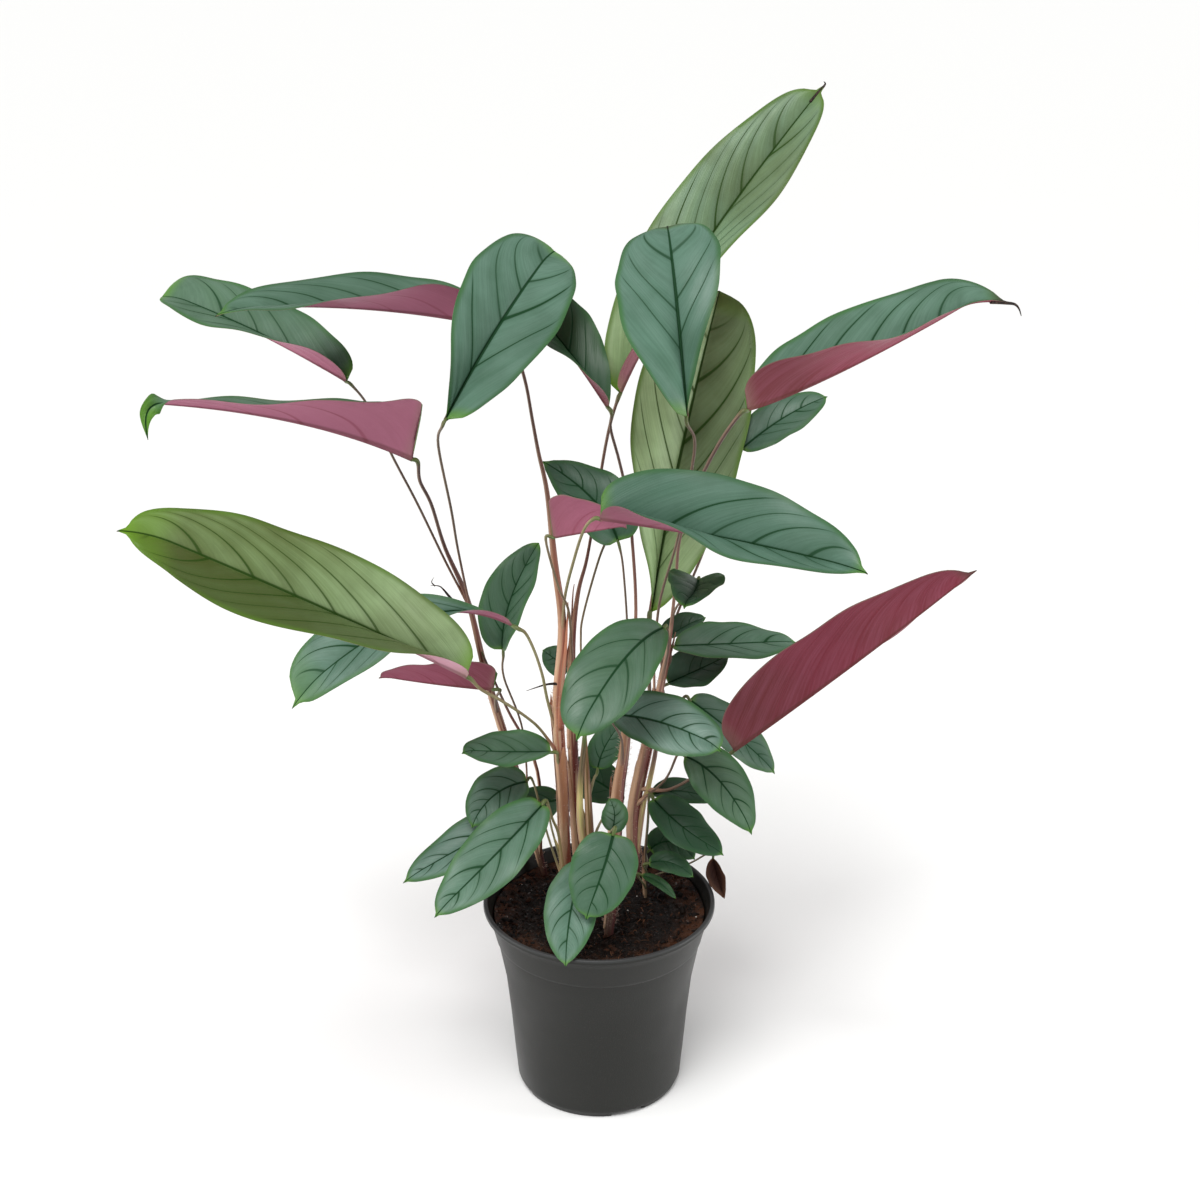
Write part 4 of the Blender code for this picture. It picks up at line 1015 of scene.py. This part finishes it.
def build_petiole(leaf, path, radii, seed):
    """A petiole: it leaves its stem nearly as thick as that, thins, and swells at the blade's joint."""
    start = point_at_height(path, leaf.join)
    under = point_at_height(path, max(leaf.join - 10.0, SOIL_LEVEL))
    route = smooth_path([under, start] + leaf.via + list(seat(leaf)), PATH_STEPS)
    lengths = distances(route)
    thin = swollen(lengths, np.full(len(route), leaf.petiole))
    here = float(np.interp(leaf.join, path[:, 2], radii))
    thin = thin + (here * 0.6 - leaf.petiole) * (1 - smoothstep(0, SHEATH_LENGTH, lengths))
    points, faces, values = tube(route, np.maximum(thin, 0.3), PETIOLE_SIDES, 1.0, seed + leaf.join)
    lengths = distances(path)
    begin = float(np.interp(leaf.join, path[:, 2], lengths / lengths[-1]))
    values[:, 0] = begin + (0.9 - begin) * smoothstep(0.0, 0.5, values[:, 0])
    return points, faces, values


def build_twin(radius, yellow, points, path, seed):
    """A thin stem beside a shoot: it starts and ends inside the shoot's own stem."""
    start, end = (point_at_height(path, points[k][2]) for k in (0, -1))
    route = smooth_path([start] + points[1:-1] + [end], PATH_STEPS)
    thin = radius * (1 - 0.5 * np.linspace(0, 1, len(route)))
    return tube(route, thin, PETIOLE_SIDES, 0.5 + 0.2 * yellow, seed)


def build_shoot(shoot, seed):
    """A shoot: stem, petioles, twin stem and sheaths, each a closed shape, in one piece."""
    path = stem_path(shoot)
    lengths = distances(path)
    thinned = smoothstep(*LATE_THINNING.get(shoot.name, THINNING), lengths / lengths[-1])
    radii = swollen(lengths, shoot.radius_low + (shoot.radius_top - shoot.radius_low) * thinned)
    radii = radii * (FOOT_TAPER + (1 - FOOT_TAPER) * smoothstep(0, FOOT_TAPER_LENGTH, lengths))
    shapes = [tube(path, radii, STEM_SIDES, 0.0, seed)]
    carried = [leaf for leaf in LEAVES if leaf.shoot == shoot.name and leaf.join is not None]
    shapes += [build_petiole(leaf, path, radii, seed) for leaf in carried]
    if shoot.name in TWIN_STEMS:
        shapes.append(build_twin(*TWIN_STEMS[shoot.name], path, seed))
    shapes += [build_sheath(path, radii, *row) for row in SHEATHS[shoot.name]]
    points, faces, values = joined(shapes)
    kept = {"stalk": values[:, :3], "strip": values[:, 3:]}
    return new_piece(shoot.name + "_stalks", points, faces, kept)


# %% Stem materials
def streak_mask():
    """A group that turns two noises into a mask of faint lengthwise streaks and spots."""
    group, given, out = new_group("stalk_streaks", ["Fine", "Coarse"], ["Streaks"])
    spots = ramp(group, given["Fine"], 0.45, 0.7)
    patches = ramp(group, given["Coarse"], 0.35, 0.65)
    mixed = sums(group, "ADD", times(group, spots, 0.6), times(group, patches, 0.4))
    group.links.new(mixed, out["Streaks"])
    return group


STREAKS = streak_mask()
# How green a shoot's petioles are higher up
GREEN_PETIOLES = {"shoot_main": 0.85, "shoot_olive": 0.6, "shoot_low_left": 0.9, "shoot_low_front": 0.9,
                  "shoot_tall": 0.4}


# Colours that all shoots share
PETIOLE_GREEN = (0.210, 0.230, 0.100)
TWIN_YELLOW = (0.78, 0.74, 0.28)
SHEATH_TAN = (0.36, 0.14, 0.085)
SHEATH_YELLOW = (0.50, 0.46, 0.14)
SHEATH_ORANGE = (0.60, 0.24, 0.13)
LIT_TAN = (0.74, 0.48, 0.30)
PALE_STRIP = (0.52, 0.38, 0.24)
FOOT_RED = (0.045, 0.014, 0.014)
JOINT_GREEN = (0.070, 0.120, 0.022)


def stalk_material(shoot):
    """A shoot's finish: its low colour at the foot, its high colour on the petioles, green at the joint.

    kind says what a point is on: below 0.5 the stem, 0.5 to 0.7 a twin stem, 1 a petiole, and from
    1.7 a sheath, from orange over tan to yellow.
    """
    made, tree, shader = new_material(shoot.name + "_skin", 0.45, Specular_IOR_Level=0.4)
    share, left, kind = parts_of(tree, "stalk")
    noises = {0: noise(tree, 260.0, 2.0, (1.0, 1.0, 0.12)), 1: noise(tree, 30.0)}
    streaks = node(tree, "ShaderNodeGroup", noises, node_tree=STREAKS).outputs[0]
    place = node(tree, "ShaderNodeAttribute", attribute_name="strip").outputs["Vector"]
    strips = node(tree, "ShaderNodeTexNoise", {"Vector": place, "Scale": 1.3, "Detail": 1.0}).outputs["Fac"]
    petiole = times(tree, sums(tree, "GREATER_THAN", kind, 0.9), sums(tree, "LESS_THAN", kind, 1.5))
    green = ramp(tree, share, 0.35, 0.85, 0.0, GREEN_PETIOLES.get(shoot.name, 0.1))
    twin = times(tree, ramp(tree, kind, 0.55, 0.68), sums(tree, "LESS_THAN", kind, 0.8))
    sheath = layered(
        tree, tuple(0.5 * (low + tan) for low, tan in zip(shoot.low, SHEATH_TAN)),
        (sums(tree, "SUBTRACT", kind, 2.0, clamp=True), SHEATH_YELLOW),
        (ramp(tree, share, 0.0, 0.35, 0.6, 0.0), shoot.low),
        (ramp(tree, kind, 1.95, 1.75), SHEATH_ORANGE))
    dark = tuple(value * 0.4 for value in shoot.low)
    # red is painted shade, for the right side of a shoot's stalks low down.
    red = (shoot.low[0] * 0.55, shoot.low[1] * 0.3, shoot.low[2] * 0.35)
    low_down = ramp(tree, share, 0.3, 0.7, 1.0, 0.25)
    facing = parts_of(tree, "strip")[0]
    foot = times(tree, ramp(tree, share, 0.03, 0.14, 0.85, 0.0), sums(tree, "LESS_THAN", kind, 0.5))
    color = layered(
        tree, blend_colors(tree, ramp(tree, share, 0.4, 0.9), shoot.low, shoot.high),
        (times(tree, petiole, green), PETIOLE_GREEN),
        (times(tree, twin, ramp(tree, share, 0.78, 0.5, 0.0, 1.0)), TWIN_YELLOW),
        (sums(tree, "GREATER_THAN", kind, 1.5), sheath),
        (times(tree, streaks, 0.35), dark),
        (times(tree, ramp(tree, strips, 0.5, 0.3, 0.0, 0.7), low_down), dark),
        # Painted shade in red on the right side of each stalk, and a painted highlight in LIT_TAN on its
        # left, low down.
        (times(tree, ramp(tree, facing, 0.2, -0.6, 0.0, 0.8), low_down), red),
        (times(tree, ramp(tree, facing, 0.0, 0.65, 0.0, 0.8), low_down), LIT_TAN),
        (times(tree, times(tree, ramp(tree, strips, 0.5, 0.66), low_down), 0.55), PALE_STRIP),
        (foot, FOOT_RED),
        (ramp(tree, left, 2.0, JOINT_LENGTH + 3.0, 0.8, 0.0), JOINT_GREEN))
    tree.links.new(color, shader.inputs["Base Color"])
    add_bump(tree, shader, sums(tree, "ADD", streaks, strips), 0.0002)
    return made


for number, shoot in enumerate(SHOOTS):
    stalks = build_shoot(shoot, number * 2.3)
    dress(stalks, stalk_material(shoot), "stem", shoot.name)
print("shoots built:", len(SHOOTS))

# %% [markdown]
# ## Hairs and dried bits
# The stems are hairy low down. Each hair is a thin three-sided spike that leans up the stem, all
# of them in one mesh, so that they stay with the part wherever it goes. A withered leaf tip and a
# small bract hang on two of the stems, and two leaves end in a dead tip that curls on past the
# blade.

# %% Hair and dried bit sizes, mm
# Hairs on each shoot, how far above the mix they start, the height they end at, and their size
HAIRY = {"shoot_main": 700, "shoot_tall": 260, "shoot_front": 600, "shoot_right": 500, "shoot_left": 160}
HAIR_START = 8.0
HAIR_TOP = 300.0
HAIR_LENGTH = (0.9, 2.4)
HAIR_RADIUS = 0.2
DRIED_BITS = [
    ("withered_tip", 1.0,
     [(-107, 68, 359), (-110, 68, 363), (-113, 68, 367), (-116, 67, 370), (-122, 66, 371)]),
    ("withered_hook", 0.5, [(-119, 67, 370), (-121, 65, 374), (-119, 65, 378)]),
    ("bract", 1.1, [(-29, 24, 312), (-38, 20, 313), (-52, 18, 309)]),
]
# Where a dead tip curls on to, as steps from the end of its blade
CURLED_TIPS = {"leaf_right_1": [(3, -1, -3), (5, -1, -8)], "leaf_tall_1": [(-1, 0, 2)]}
CURL_RADIUS = 1.6


# %% Grow the hairs
def build_hairs():
    """Hairs on the lower stems: each is a small triangle in the stem and a tip out and up from it."""
    random = np.random.default_rng(21)
    points = []
    for shoot in SHOOTS:
        count = HAIRY.get(shoot.name, 0)
        path = stem_path(shoot)
        height = SOIL_LEVEL + HAIR_START + (HAIR_TOP - SOIL_LEVEL) * random.random(count) ** 1.3
        center = point_at_height(path, height)
        turn = random.uniform(0, 2 * math.pi, count)
        out = np.stack([np.cos(turn), np.sin(turn), np.zeros(count)], -1)
        root = center + out * (shoot.radius_low * 0.9)
        length = random.uniform(*HAIR_LENGTH, count) + shoot.radius_low * 0.2
        way = unit(out + np.array([0.0, 0.0, 0.5]) + random.normal(0, 0.2, (count, 3)))
        side = unit(np.cross(way, (0.0, 0.0, 1.0)))
        lift = np.cross(side, way)
        corners = [root + HAIR_RADIUS * (side * math.cos(a) + lift * math.sin(a)) for a in (0.0, 2.1, 4.2)]
        points.append(np.stack(corners + [root + way * length[:, None]], 1))
    points = np.vstack(points)
    faces = np.array([(0, 2, 1), (0, 1, 3), (1, 2, 3), (2, 0, 3)])
    return new_piece("stem_hairs", points.reshape(-1, 3), [repeated(faces, 4, len(points))])


def pale_hair():
    """Pale hairs, a little darker here and there."""
    made, tree, shader = new_material("pale_hair", 0.6, Specular_IOR_Level=0.2)
    color = blend_colors(tree, noise(tree, 400.0), (0.80, 0.66, 0.56), (0.45, 0.30, 0.24))
    tree.links.new(color, shader.inputs["Base Color"])
    return made


def withered():
    """Dead leaf: nearly black brown with paler patches."""
    made, tree, shader = new_material("withered", 0.7, Specular_IOR_Level=0.2)
    patches = ramp(tree, noise(tree, 500.0), 0.4, 0.7)
    color = blend_colors(tree, patches, (0.012, 0.008, 0.007), (0.060, 0.035, 0.025))
    tree.links.new(color, shader.inputs["Base Color"])
    return made


hairs = build_hairs()
dress(hairs, pale_hair(), "stem")
withered_skin = withered()
bits = list(DRIED_BITS)
for leaf in LEAVES:
    if leaf.name in CURLED_TIPS:
        end = rib_line(leaf, np.linspace(0.95, 1.0, 4))[0]
        route = np.vstack([end, end[-1] + np.array(CURLED_TIPS[leaf.name])])
        bits.append((leaf.name + "_curl", CURL_RADIUS, route))
for name, thick, route in bits:
    route = smooth_path(route, 8)
    thinning = thick * (1 - 0.85 * np.linspace(0, 1, len(route)) ** 1.5)
    points, faces, values = tube(route, thinning, 8, 0.0, 1.0)
    dress(new_piece(name, points, faces), withered_skin, "leaf_dry")
print("hairs:", len(hairs.data.polygons) // 4, "dried bits:", len(bits))

# %% [markdown]
# ## Potting mix
# Moist peat is a rough dark surface with crumbs, brown fibres and a few pale grains. The surface
# is a disc of points lifted by noise. A material could fake the lumps, but crumbs and fibres have
# to lie on them, so their height is a function that both use. Noise here is a grid of seeded
# random numbers with smooth steps between them, added up at three sizes.

# %% Potting mix sizes, mm
SOIL_EDGE_RISE = 5.0
HEAP_HEIGHT = 4.0
HEAP_PLACE = (58.0, 38.0)
HEAP_SPREAD = 17.0
FIT_GAP = 0.3
MIX_BOTTOM = 2.8
# Height, cell size and seed of the three noises, and about how high they stand on average
ROUGHNESS = ((2.6, 9.0, 1), (1.5, 3.6, 2), (0.9, 1.5, 3))
ROUGH_MIDDLE = 2.2
CRUMBS = 1500
FIBRES = 190
GRAINS = 14


# %% Seeded noise
def lattice_noise(x, y, cell, seed):
    """Noise from 0 to 1: random numbers at the corners of square cells, with smooth steps between."""
    corners = np.random.default_rng(seed).random((256, 256))
    column, row = x / cell + 128.0, y / cell + 128.0
    i, j = np.floor(column).astype(int), np.floor(row).astype(int)
    a, b = smoothstep(0, 1, column - i), smoothstep(0, 1, row - j)
    low = corners[i, j] * (1 - a) + corners[i + 1, j] * a
    high = corners[i, j + 1] * (1 - a) + corners[i + 1, j + 1] * a
    return low * (1 - b) + high * b


# %% The pot's wall, which the mix fits
WALL = 1.6
# Height and outer radius, below the step in the wall and above it
WALL_PROFILE = ((0.0, 57.5), (1.5, 60.0), (5.0, 61.6), (30.0, 63.8), (60.0, 66.2), (90.0, 69.3),
                (122.0, 75.2))
ABOVE_STEP = ((123.0, 76.2), (146.0, 81.8))


def wall_radius(height):
    """Outer radius of the wall at heights in mm, with a 1 mm step out at 122 mm."""
    low = np.interp(height, *zip(*WALL_PROFILE))
    high = np.interp(height, *zip(*ABOVE_STEP))
    return np.where(np.asarray(height) > WALL_PROFILE[-1][0] + 0.5, high, low)


MIX_RADIUS = float(wall_radius(SOIL_LEVEL)) - WALL - FIT_GAP


def mix_height(x, y):
    """Height of the mix: a level that rises at the wall, a heap, and noise at three sizes."""
    reach = np.hypot(x, y) / MIX_RADIUS
    off_heap = (x - HEAP_PLACE[0]) ** 2 + (y - HEAP_PLACE[1]) ** 2
    heap = HEAP_HEIGHT * np.exp(-off_heap / HEAP_SPREAD ** 2)
    rough = sum(height * lattice_noise(x, y, cell, seed) for height, cell, seed in ROUGHNESS)
    return SOIL_LEVEL - ROUGH_MIDDLE + SOIL_EDGE_RISE * reach ** 6 + heap + rough * (1.0 - 0.5 * reach ** 8)


# %% The mix as one closed body
def build_mix():
    """The mix: a rough disc on top, a wall down the inside of the pot, and a flat bottom."""
    sides, rings = 260, 96
    turn = np.linspace(0, 2 * math.pi, sides, endpoint=False)
    radius = MIX_RADIUS * np.linspace(1.0 / rings, 1.0, rings)
    x = radius[:, None] * np.cos(turn)
    y = radius[:, None] * np.sin(turn)
    surface = np.stack([x, y, mix_height(x, y)], -1)
    depths = np.array([125.0, 90.0, 60.0, 30.0, 10.0, MIX_BOTTOM])
    reach = wall_radius(depths)[:, None] - WALL - FIT_GAP
    level = np.broadcast_to(depths[:, None], (len(depths), sides))
    wall = np.stack([reach * np.cos(turn), reach * np.sin(turn), level], -1)
    points = np.vstack([surface, wall]).reshape(-1, 3)
    top = [0.0, 0.0, float(mix_height(np.zeros(1), np.zeros(1))[0])]
    points = np.vstack([points, top, (0, 0, MIX_BOTTOM)])
    return new_piece("potting_mix", points, capped_faces(rings + len(depths), sides, turned=True))


# %% Crumbs, fibres and grains
def scattered(count, seed, most=0.97):
    """Places on the mix, even over its area, and the source of the random numbers behind them."""
    random = np.random.default_rng(seed)
    radius = MIX_RADIUS * most * np.sqrt(random.random(count))
    turn = random.random(count) * 2 * math.pi
    x, y = radius * np.cos(turn), radius * np.sin(turn)
    return np.stack([x, y, mix_height(x, y)], -1), random


def build_crumbs(name, count, seed, low, high, sink):
    """Lumps on the mix: an icosahedron each, its corners pushed in and out and its axes stretched."""
    golden = (1 + 5 ** 0.5) / 2
    ball = [(0, a, b * golden) for a in (-1, 1) for b in (-1, 1)]
    ball = np.array(ball + [(z, x, y) for x, y, z in ball] + [(y, z, x) for x, y, z in ball])
    ball = ball / np.linalg.norm(ball[0])
    gaps = np.linalg.norm(ball[:, None] - ball[None], axis=-1)
    close = gaps < 1.1
    triples = [(a, b, c) for a in range(12) for b in range(a + 1, 12) for c in range(b + 1, 12)
               if close[a, b] and close[b, c] and close[a, c]]
    outward = [np.cross(ball[b] - ball[a], ball[c] - ball[a]) @ ball[a] > 0 for a, b, c in triples]
    faces = np.array([(a, b, c) if out else (a, c, b) for (a, b, c), out in zip(triples, outward)])
    places, random = scattered(count, seed)
    size = low + (high - low) * random.random(count) ** 2.5
    stretch = 0.6 + 0.8 * random.random((count, 1, 3))
    push = 0.75 + 0.5 * random.random((count, 12, 1))
    points = ball[None] * push * stretch * size[:, None, None] + places[:, None, :]
    points[:, :, 2] -= (sink * size)[:, None]
    shade = np.repeat(random.random((count, 3)), 12, axis=0)
    return new_piece(name, points.reshape(-1, 3), [repeated(faces, 12, count)], {"crumb": shade})


def build_fibres(count, seed):
    """Peat fibres: short curved threads of four sides that lie on the mix and dip into it."""
    places, random = scattered(count, seed, 0.93)
    t = np.linspace(-1, 1, 7)
    shapes = []
    for place in places:
        heading = random.random() * 2 * math.pi
        bow = random.normal(0, 0.35)
        length = 3.0 + 7.0 * random.random()
        way = heading + bow * t
        step = np.stack([np.cos(way), np.sin(way)], -1) * (length / len(t))
        xy = place[:2] + np.cumsum(step, axis=0) - step.sum(0) / 2
        if np.hypot(xy[:, 0], xy[:, 1]).max() >= MIX_RADIUS * 0.97:
            continue
        lift = 0.35 + (0.5 + random.random()) * (1 - t ** 2) - 0.6 * t ** 2
        path = np.column_stack([xy, mix_height(xy[:, 0], xy[:, 1]) + lift])
        radii = 0.16 + 0.2 * random.random() * (1.1 - t ** 2)
        shapes.append(tube(path, radii, 4, random.random(), 0.0))
    points, faces, values = joined(shapes)
    return new_piece("peat_fibres", points, faces, {"crumb": values[:, 2::-1]})


# %% Mix materials
PEAT_ROUGHNESS = 0.5
PEAT_SHINE = 0.15
RUST = (0.075, 0.026, 0.009)


def peat_material(name, dark, light):
    """Moist peat: two browns mixed by noise, rusty near the pot's wall, with small wet spots."""
    made, tree, shader = new_material(name, PEAT_ROUGHNESS, Specular_IOR_Level=PEAT_SHINE)
    fine, coarse = noise(tree, 900.0, 4.0), noise(tree, 120.0, 3.0)
    wet = ramp(tree, noise(tree, 420.0, 2.0), 0.6, 0.68)
    place = node(tree, "ShaderNodeTexCoord").outputs["Object"]
    flat = node(tree, "ShaderNodeMapping", {0: place, 3: (1.0, 1.0, 0.0)}).outputs[0]
    reach = node(tree, "ShaderNodeVectorMath", {0: flat}, operation="LENGTH").outputs["Value"]
    rusty = times(tree, ramp(tree, reach, 0.052, 0.076), ramp(tree, coarse, 0.35, 0.6))
    color = layered(
        tree, dark,
        (ramp(tree, fine, 0.45, 0.75), light),
        (ramp(tree, coarse, 0.5, 0.75), light),
        (times(tree, rusty, 0.7), RUST))
    tree.links.new(color, shader.inputs["Base Color"])
    tree.links.new(ramp(tree, wet, 0.0, 1.0, PEAT_ROUGHNESS, 0.16), shader.inputs["Roughness"])
    tree.links.new(ramp(tree, wet, 0.0, 1.0, PEAT_SHINE, 0.9), shader.inputs["Specular IOR Level"])
    add_bump(tree, shader, fine, 0.0008)
    return made


def crumb_material(name, dark, light):
    """Loose bits: each keeps its own random shade between two colours."""
    made, tree, shader = new_material(name, 0.6, Specular_IOR_Level=PEAT_SHINE)
    shade = parts_of(tree, "crumb")[0]
    patches = times(tree, noise(tree, 700.0), 0.5)
    color = layered(tree, dark, (sums(tree, "POWER", shade, 2.5), light), (patches, dark))
    tree.links.new(color, shader.inputs["Base Color"])
    add_bump(tree, shader, noise(tree, 1200.0), 0.0004)
    return made


mix = build_mix()
peat = peat_material("moist_peat", (0.0025, 0.0015, 0.001), (0.013, 0.006, 0.003))
dress(mix, peat, "potting_mix", "soil")
crumbs = build_crumbs("peat_crumbs", CRUMBS, 11, 0.5, 2.6, 0.2)
fibres = build_fibres(FIBRES, 12)
grains = build_crumbs("pale_grains", GRAINS, 13, 0.4, 1.1, -0.1)
loose = ((crumbs, (0.003, 0.002, 0.0015), (0.060, 0.022, 0.009)),
         (fibres, (0.04, 0.016, 0.008), (0.20, 0.090, 0.045)),
         (grains, (0.45, 0.42, 0.38), (0.7, 0.68, 0.64)))
for piece, dark, light in loose:
    dress(piece, crumb_material(piece.name.rstrip("s"), dark, light), "potting_mix")
    print(piece.name, "faces:", len(piece.data.polygons))

# %% [markdown]
# ## Nursery pot
# A thin dark plastic pot, moulded in one piece: a rolled lip, a wall that steps in below it, and
# drain notches at the edge of its foot. It is a profile turned round the pot's axis. Notches cut
# with another shape would leave long thin faces in the wall, so the points near the foot are
# pulled inwards instead where a notch is.

# %% Pot sizes, mm
RIM_RADIUS = 85.0
RIM_DROP = 4.0
FLOOR = 2.5
NOTCH_COUNT = 4
NOTCH_WIDTH = 25.0
NOTCH_HEIGHT = 3.6
NOTCH_DEPTH = 8.0
NOTCH_INSIDE = 50.0
NOTCH_TURN = -69.0
POT_SIDES = 360


# %% Pot profile
def arc(center, radius, start, end, steps):
    """Points of a circle's arc between two angles in degrees."""
    turn = np.radians(np.linspace(start, end, steps))
    return np.stack([center[0] + radius * np.cos(turn), center[1] + radius * np.sin(turn)], -1)


def pot_profile():
    """(radius, height) from the middle of the floor up the inside, over the lip and down to the foot."""
    heights = np.array([FLOOR + 1.2, 10, 30, 60, 90, 121.5, 123.5, 135, 144])
    inside = np.column_stack([wall_radius(heights) - WALL, heights])
    floor_edge = inside[0] + (-1.2, -1.2)
    lip = np.vstack([
        arc((RIM_RADIUS - 2.0, POT_HEIGHT - 1.2), 1.2, 180, 90, 6),
        arc((RIM_RADIUS - 1.3, POT_HEIGHT - 1.3), 1.3, 90, 0, 6),
        arc((RIM_RADIUS - 0.7, POT_HEIGHT - RIM_DROP + 0.9), 0.7, 0, -90, 5)])
    heights = np.array([145.8, 140, 132, 124.2, 123.0])
    above = np.column_stack([wall_radius(heights), heights])
    heights = np.array([122.2, 121.4, 110, 90, 75, 60, 45, 30, 15, 7.0, 5.2, 4.4, 3.9, 3.6, 3.4, 2.6, 1.6])
    below = np.column_stack([wall_radius(heights), heights])
    foot = arc((58.4, 1.5), 1.5, 0, -90, 6)
    bottom = np.array([(56.5, 0.0), (54.0, 0.0), (40.0, 0.0), (20.0, 0.0)])
    return np.vstack([[(20.0, FLOOR)], [floor_edge], inside, lip, above, below, foot, bottom])


# %% Turn the pot
def build_pot():
    """The profile turned round Z, with the foot pulled in by NOTCH_DEPTH where a notch is."""
    profile = pot_profile()
    turn = np.linspace(0, 2 * math.pi, POT_SIDES, endpoint=False)
    radius = np.repeat(profile[:, :1], POT_SIDES, axis=1)
    height = np.repeat(profile[:, 1:], POT_SIDES, axis=1)
    outside = np.arange(len(profile)) > int(np.argmax(profile[:, 1])) + 6
    spacing = 2 * math.pi / NOTCH_COUNT
    off = (turn - math.radians(NOTCH_TURN) + spacing / 2) % spacing - spacing / 2
    across = np.abs(off) * WALL_PROFILE[2][1]
    window = 1 - smoothstep(NOTCH_WIDTH / 2 - 0.6, NOTCH_WIDTH / 2 + 0.6, across)
    low = 1 - smoothstep(NOTCH_HEIGHT - 0.2, NOTCH_HEIGHT + 0.3, height)
    low = outside[:, None] * low * (radius > NOTCH_INSIDE)
    radius = radius - NOTCH_DEPTH * window[None, :] * low
    points = np.stack([radius * np.cos(turn), radius * np.sin(turn), height], -1).reshape(-1, 3)
    points = np.vstack([points, (0, 0, FLOOR), (0, 0, 0)])
    return new_piece("nursery_pot", points, capped_faces(len(profile), POT_SIDES))


# %% Pot plastic
def pot_material():
    """Moulded plastic: dark grey with fine specks, a dusty bloom in patches, and a painted highlight along
    the lip.
    """
    made, tree, shader = new_material("pot_plastic", 0.42, Specular_IOR_Level=0.33)
    place = node(tree, "ShaderNodeTexCoord").outputs["Object"]
    height = node(tree, "ShaderNodeSeparateXYZ", {0: place}).outputs[2]
    specks, cloud = noise(tree, 1100.0, 2.0), noise(tree, 14.0, 3.0)
    color = layered(
        tree, (0.0088, 0.0092, 0.0075),
        (ramp(tree, specks, 0.55, 0.75, 0.0, 0.5), (0.023, 0.023, 0.020)),
        (ramp(tree, cloud, 0.45, 0.8, 0.0, 0.25), (0.019, 0.019, 0.016)),
        # A painted highlight along the top of the rolled lip.
        (ramp(tree, height, 0.1478, 0.1490, 0.0, 0.6), (0.045, 0.047, 0.048)))
    tree.links.new(color, shader.inputs["Base Color"])
    tree.links.new(ramp(tree, cloud, 0.3, 0.7, 0.36, 0.5), shader.inputs["Roughness"])
    add_bump(tree, shader, specks, 0.0001)
    return made


pot = build_pot()
dress(pot, pot_material(), "pot_plastic", "pot")
print("pot faces:", len(pot.data.polygons))

# %% [markdown]
# ## Floor and light
# A plain pale floor and soft studio light: a very large softbox high on the left, far enough away
# to light the floor evenly, and a tall soft panel at each side, which gives the pot its pale edges.

# %% Floor
FLOOR_SIZE = 30.0
edge = FLOOR_SIZE / 2
corners = [(-edge, -edge, 0), (edge, -edge, 0), (edge, edge, 0), (-edge, edge, 0)]
floor_mesh = bpy.data.meshes.new("studio_floor")
floor_mesh.from_pydata(corners, [], [(0, 1, 2, 3)])
floor = placed("studio_floor", floor_mesh)
floor_paint, _, floor_shader = new_material("pale_floor", 0.8, Specular_IOR_Level=0.1)
floor_shader.inputs["Base Color"].default_value = (0.86, 0.86, 0.85, 1.0)
floor_mesh.materials.append(floor_paint)


# %% Lights
def lamp(name, kind, power, place, aim=(0.0, 0.0, 0.0), **settings):
    """A lamp at a place that shines towards a point."""
    data = bpy.data.lights.new(name, kind)
    data.energy = power
    for key, value in settings.items():
        setattr(data, key, value)
    way = np.subtract(aim, place)
    tilt = math.atan2(math.hypot(way[0], way[1]), -way[2])
    return placed(name, data, place, (tilt, 0.0, math.atan2(-way[0], way[1])))


lamp("big_softbox", "SUN", 2.5, (-0.2, -0.5, 1.0), angle=math.radians(32.0))
for name, side, power in (("left_panel", -1, 9.0), ("right_panel", 1, 13.0)):
    lamp(name, "AREA", power, (side * 1.5, -0.1, 0.35), (0.0, 0.0, 0.1),
         shape="RECTANGLE", size=0.5, size_y=1.2)
world = bpy.data.worlds.new("studio")
bpy.context.scene.world = world
world.use_nodes = True
world.node_tree.nodes["Background"].inputs["Color"].default_value = (1.0, 1.0, 1.0, 1.0)
world.node_tree.nodes["Background"].inputs["Strength"].default_value = 0.48
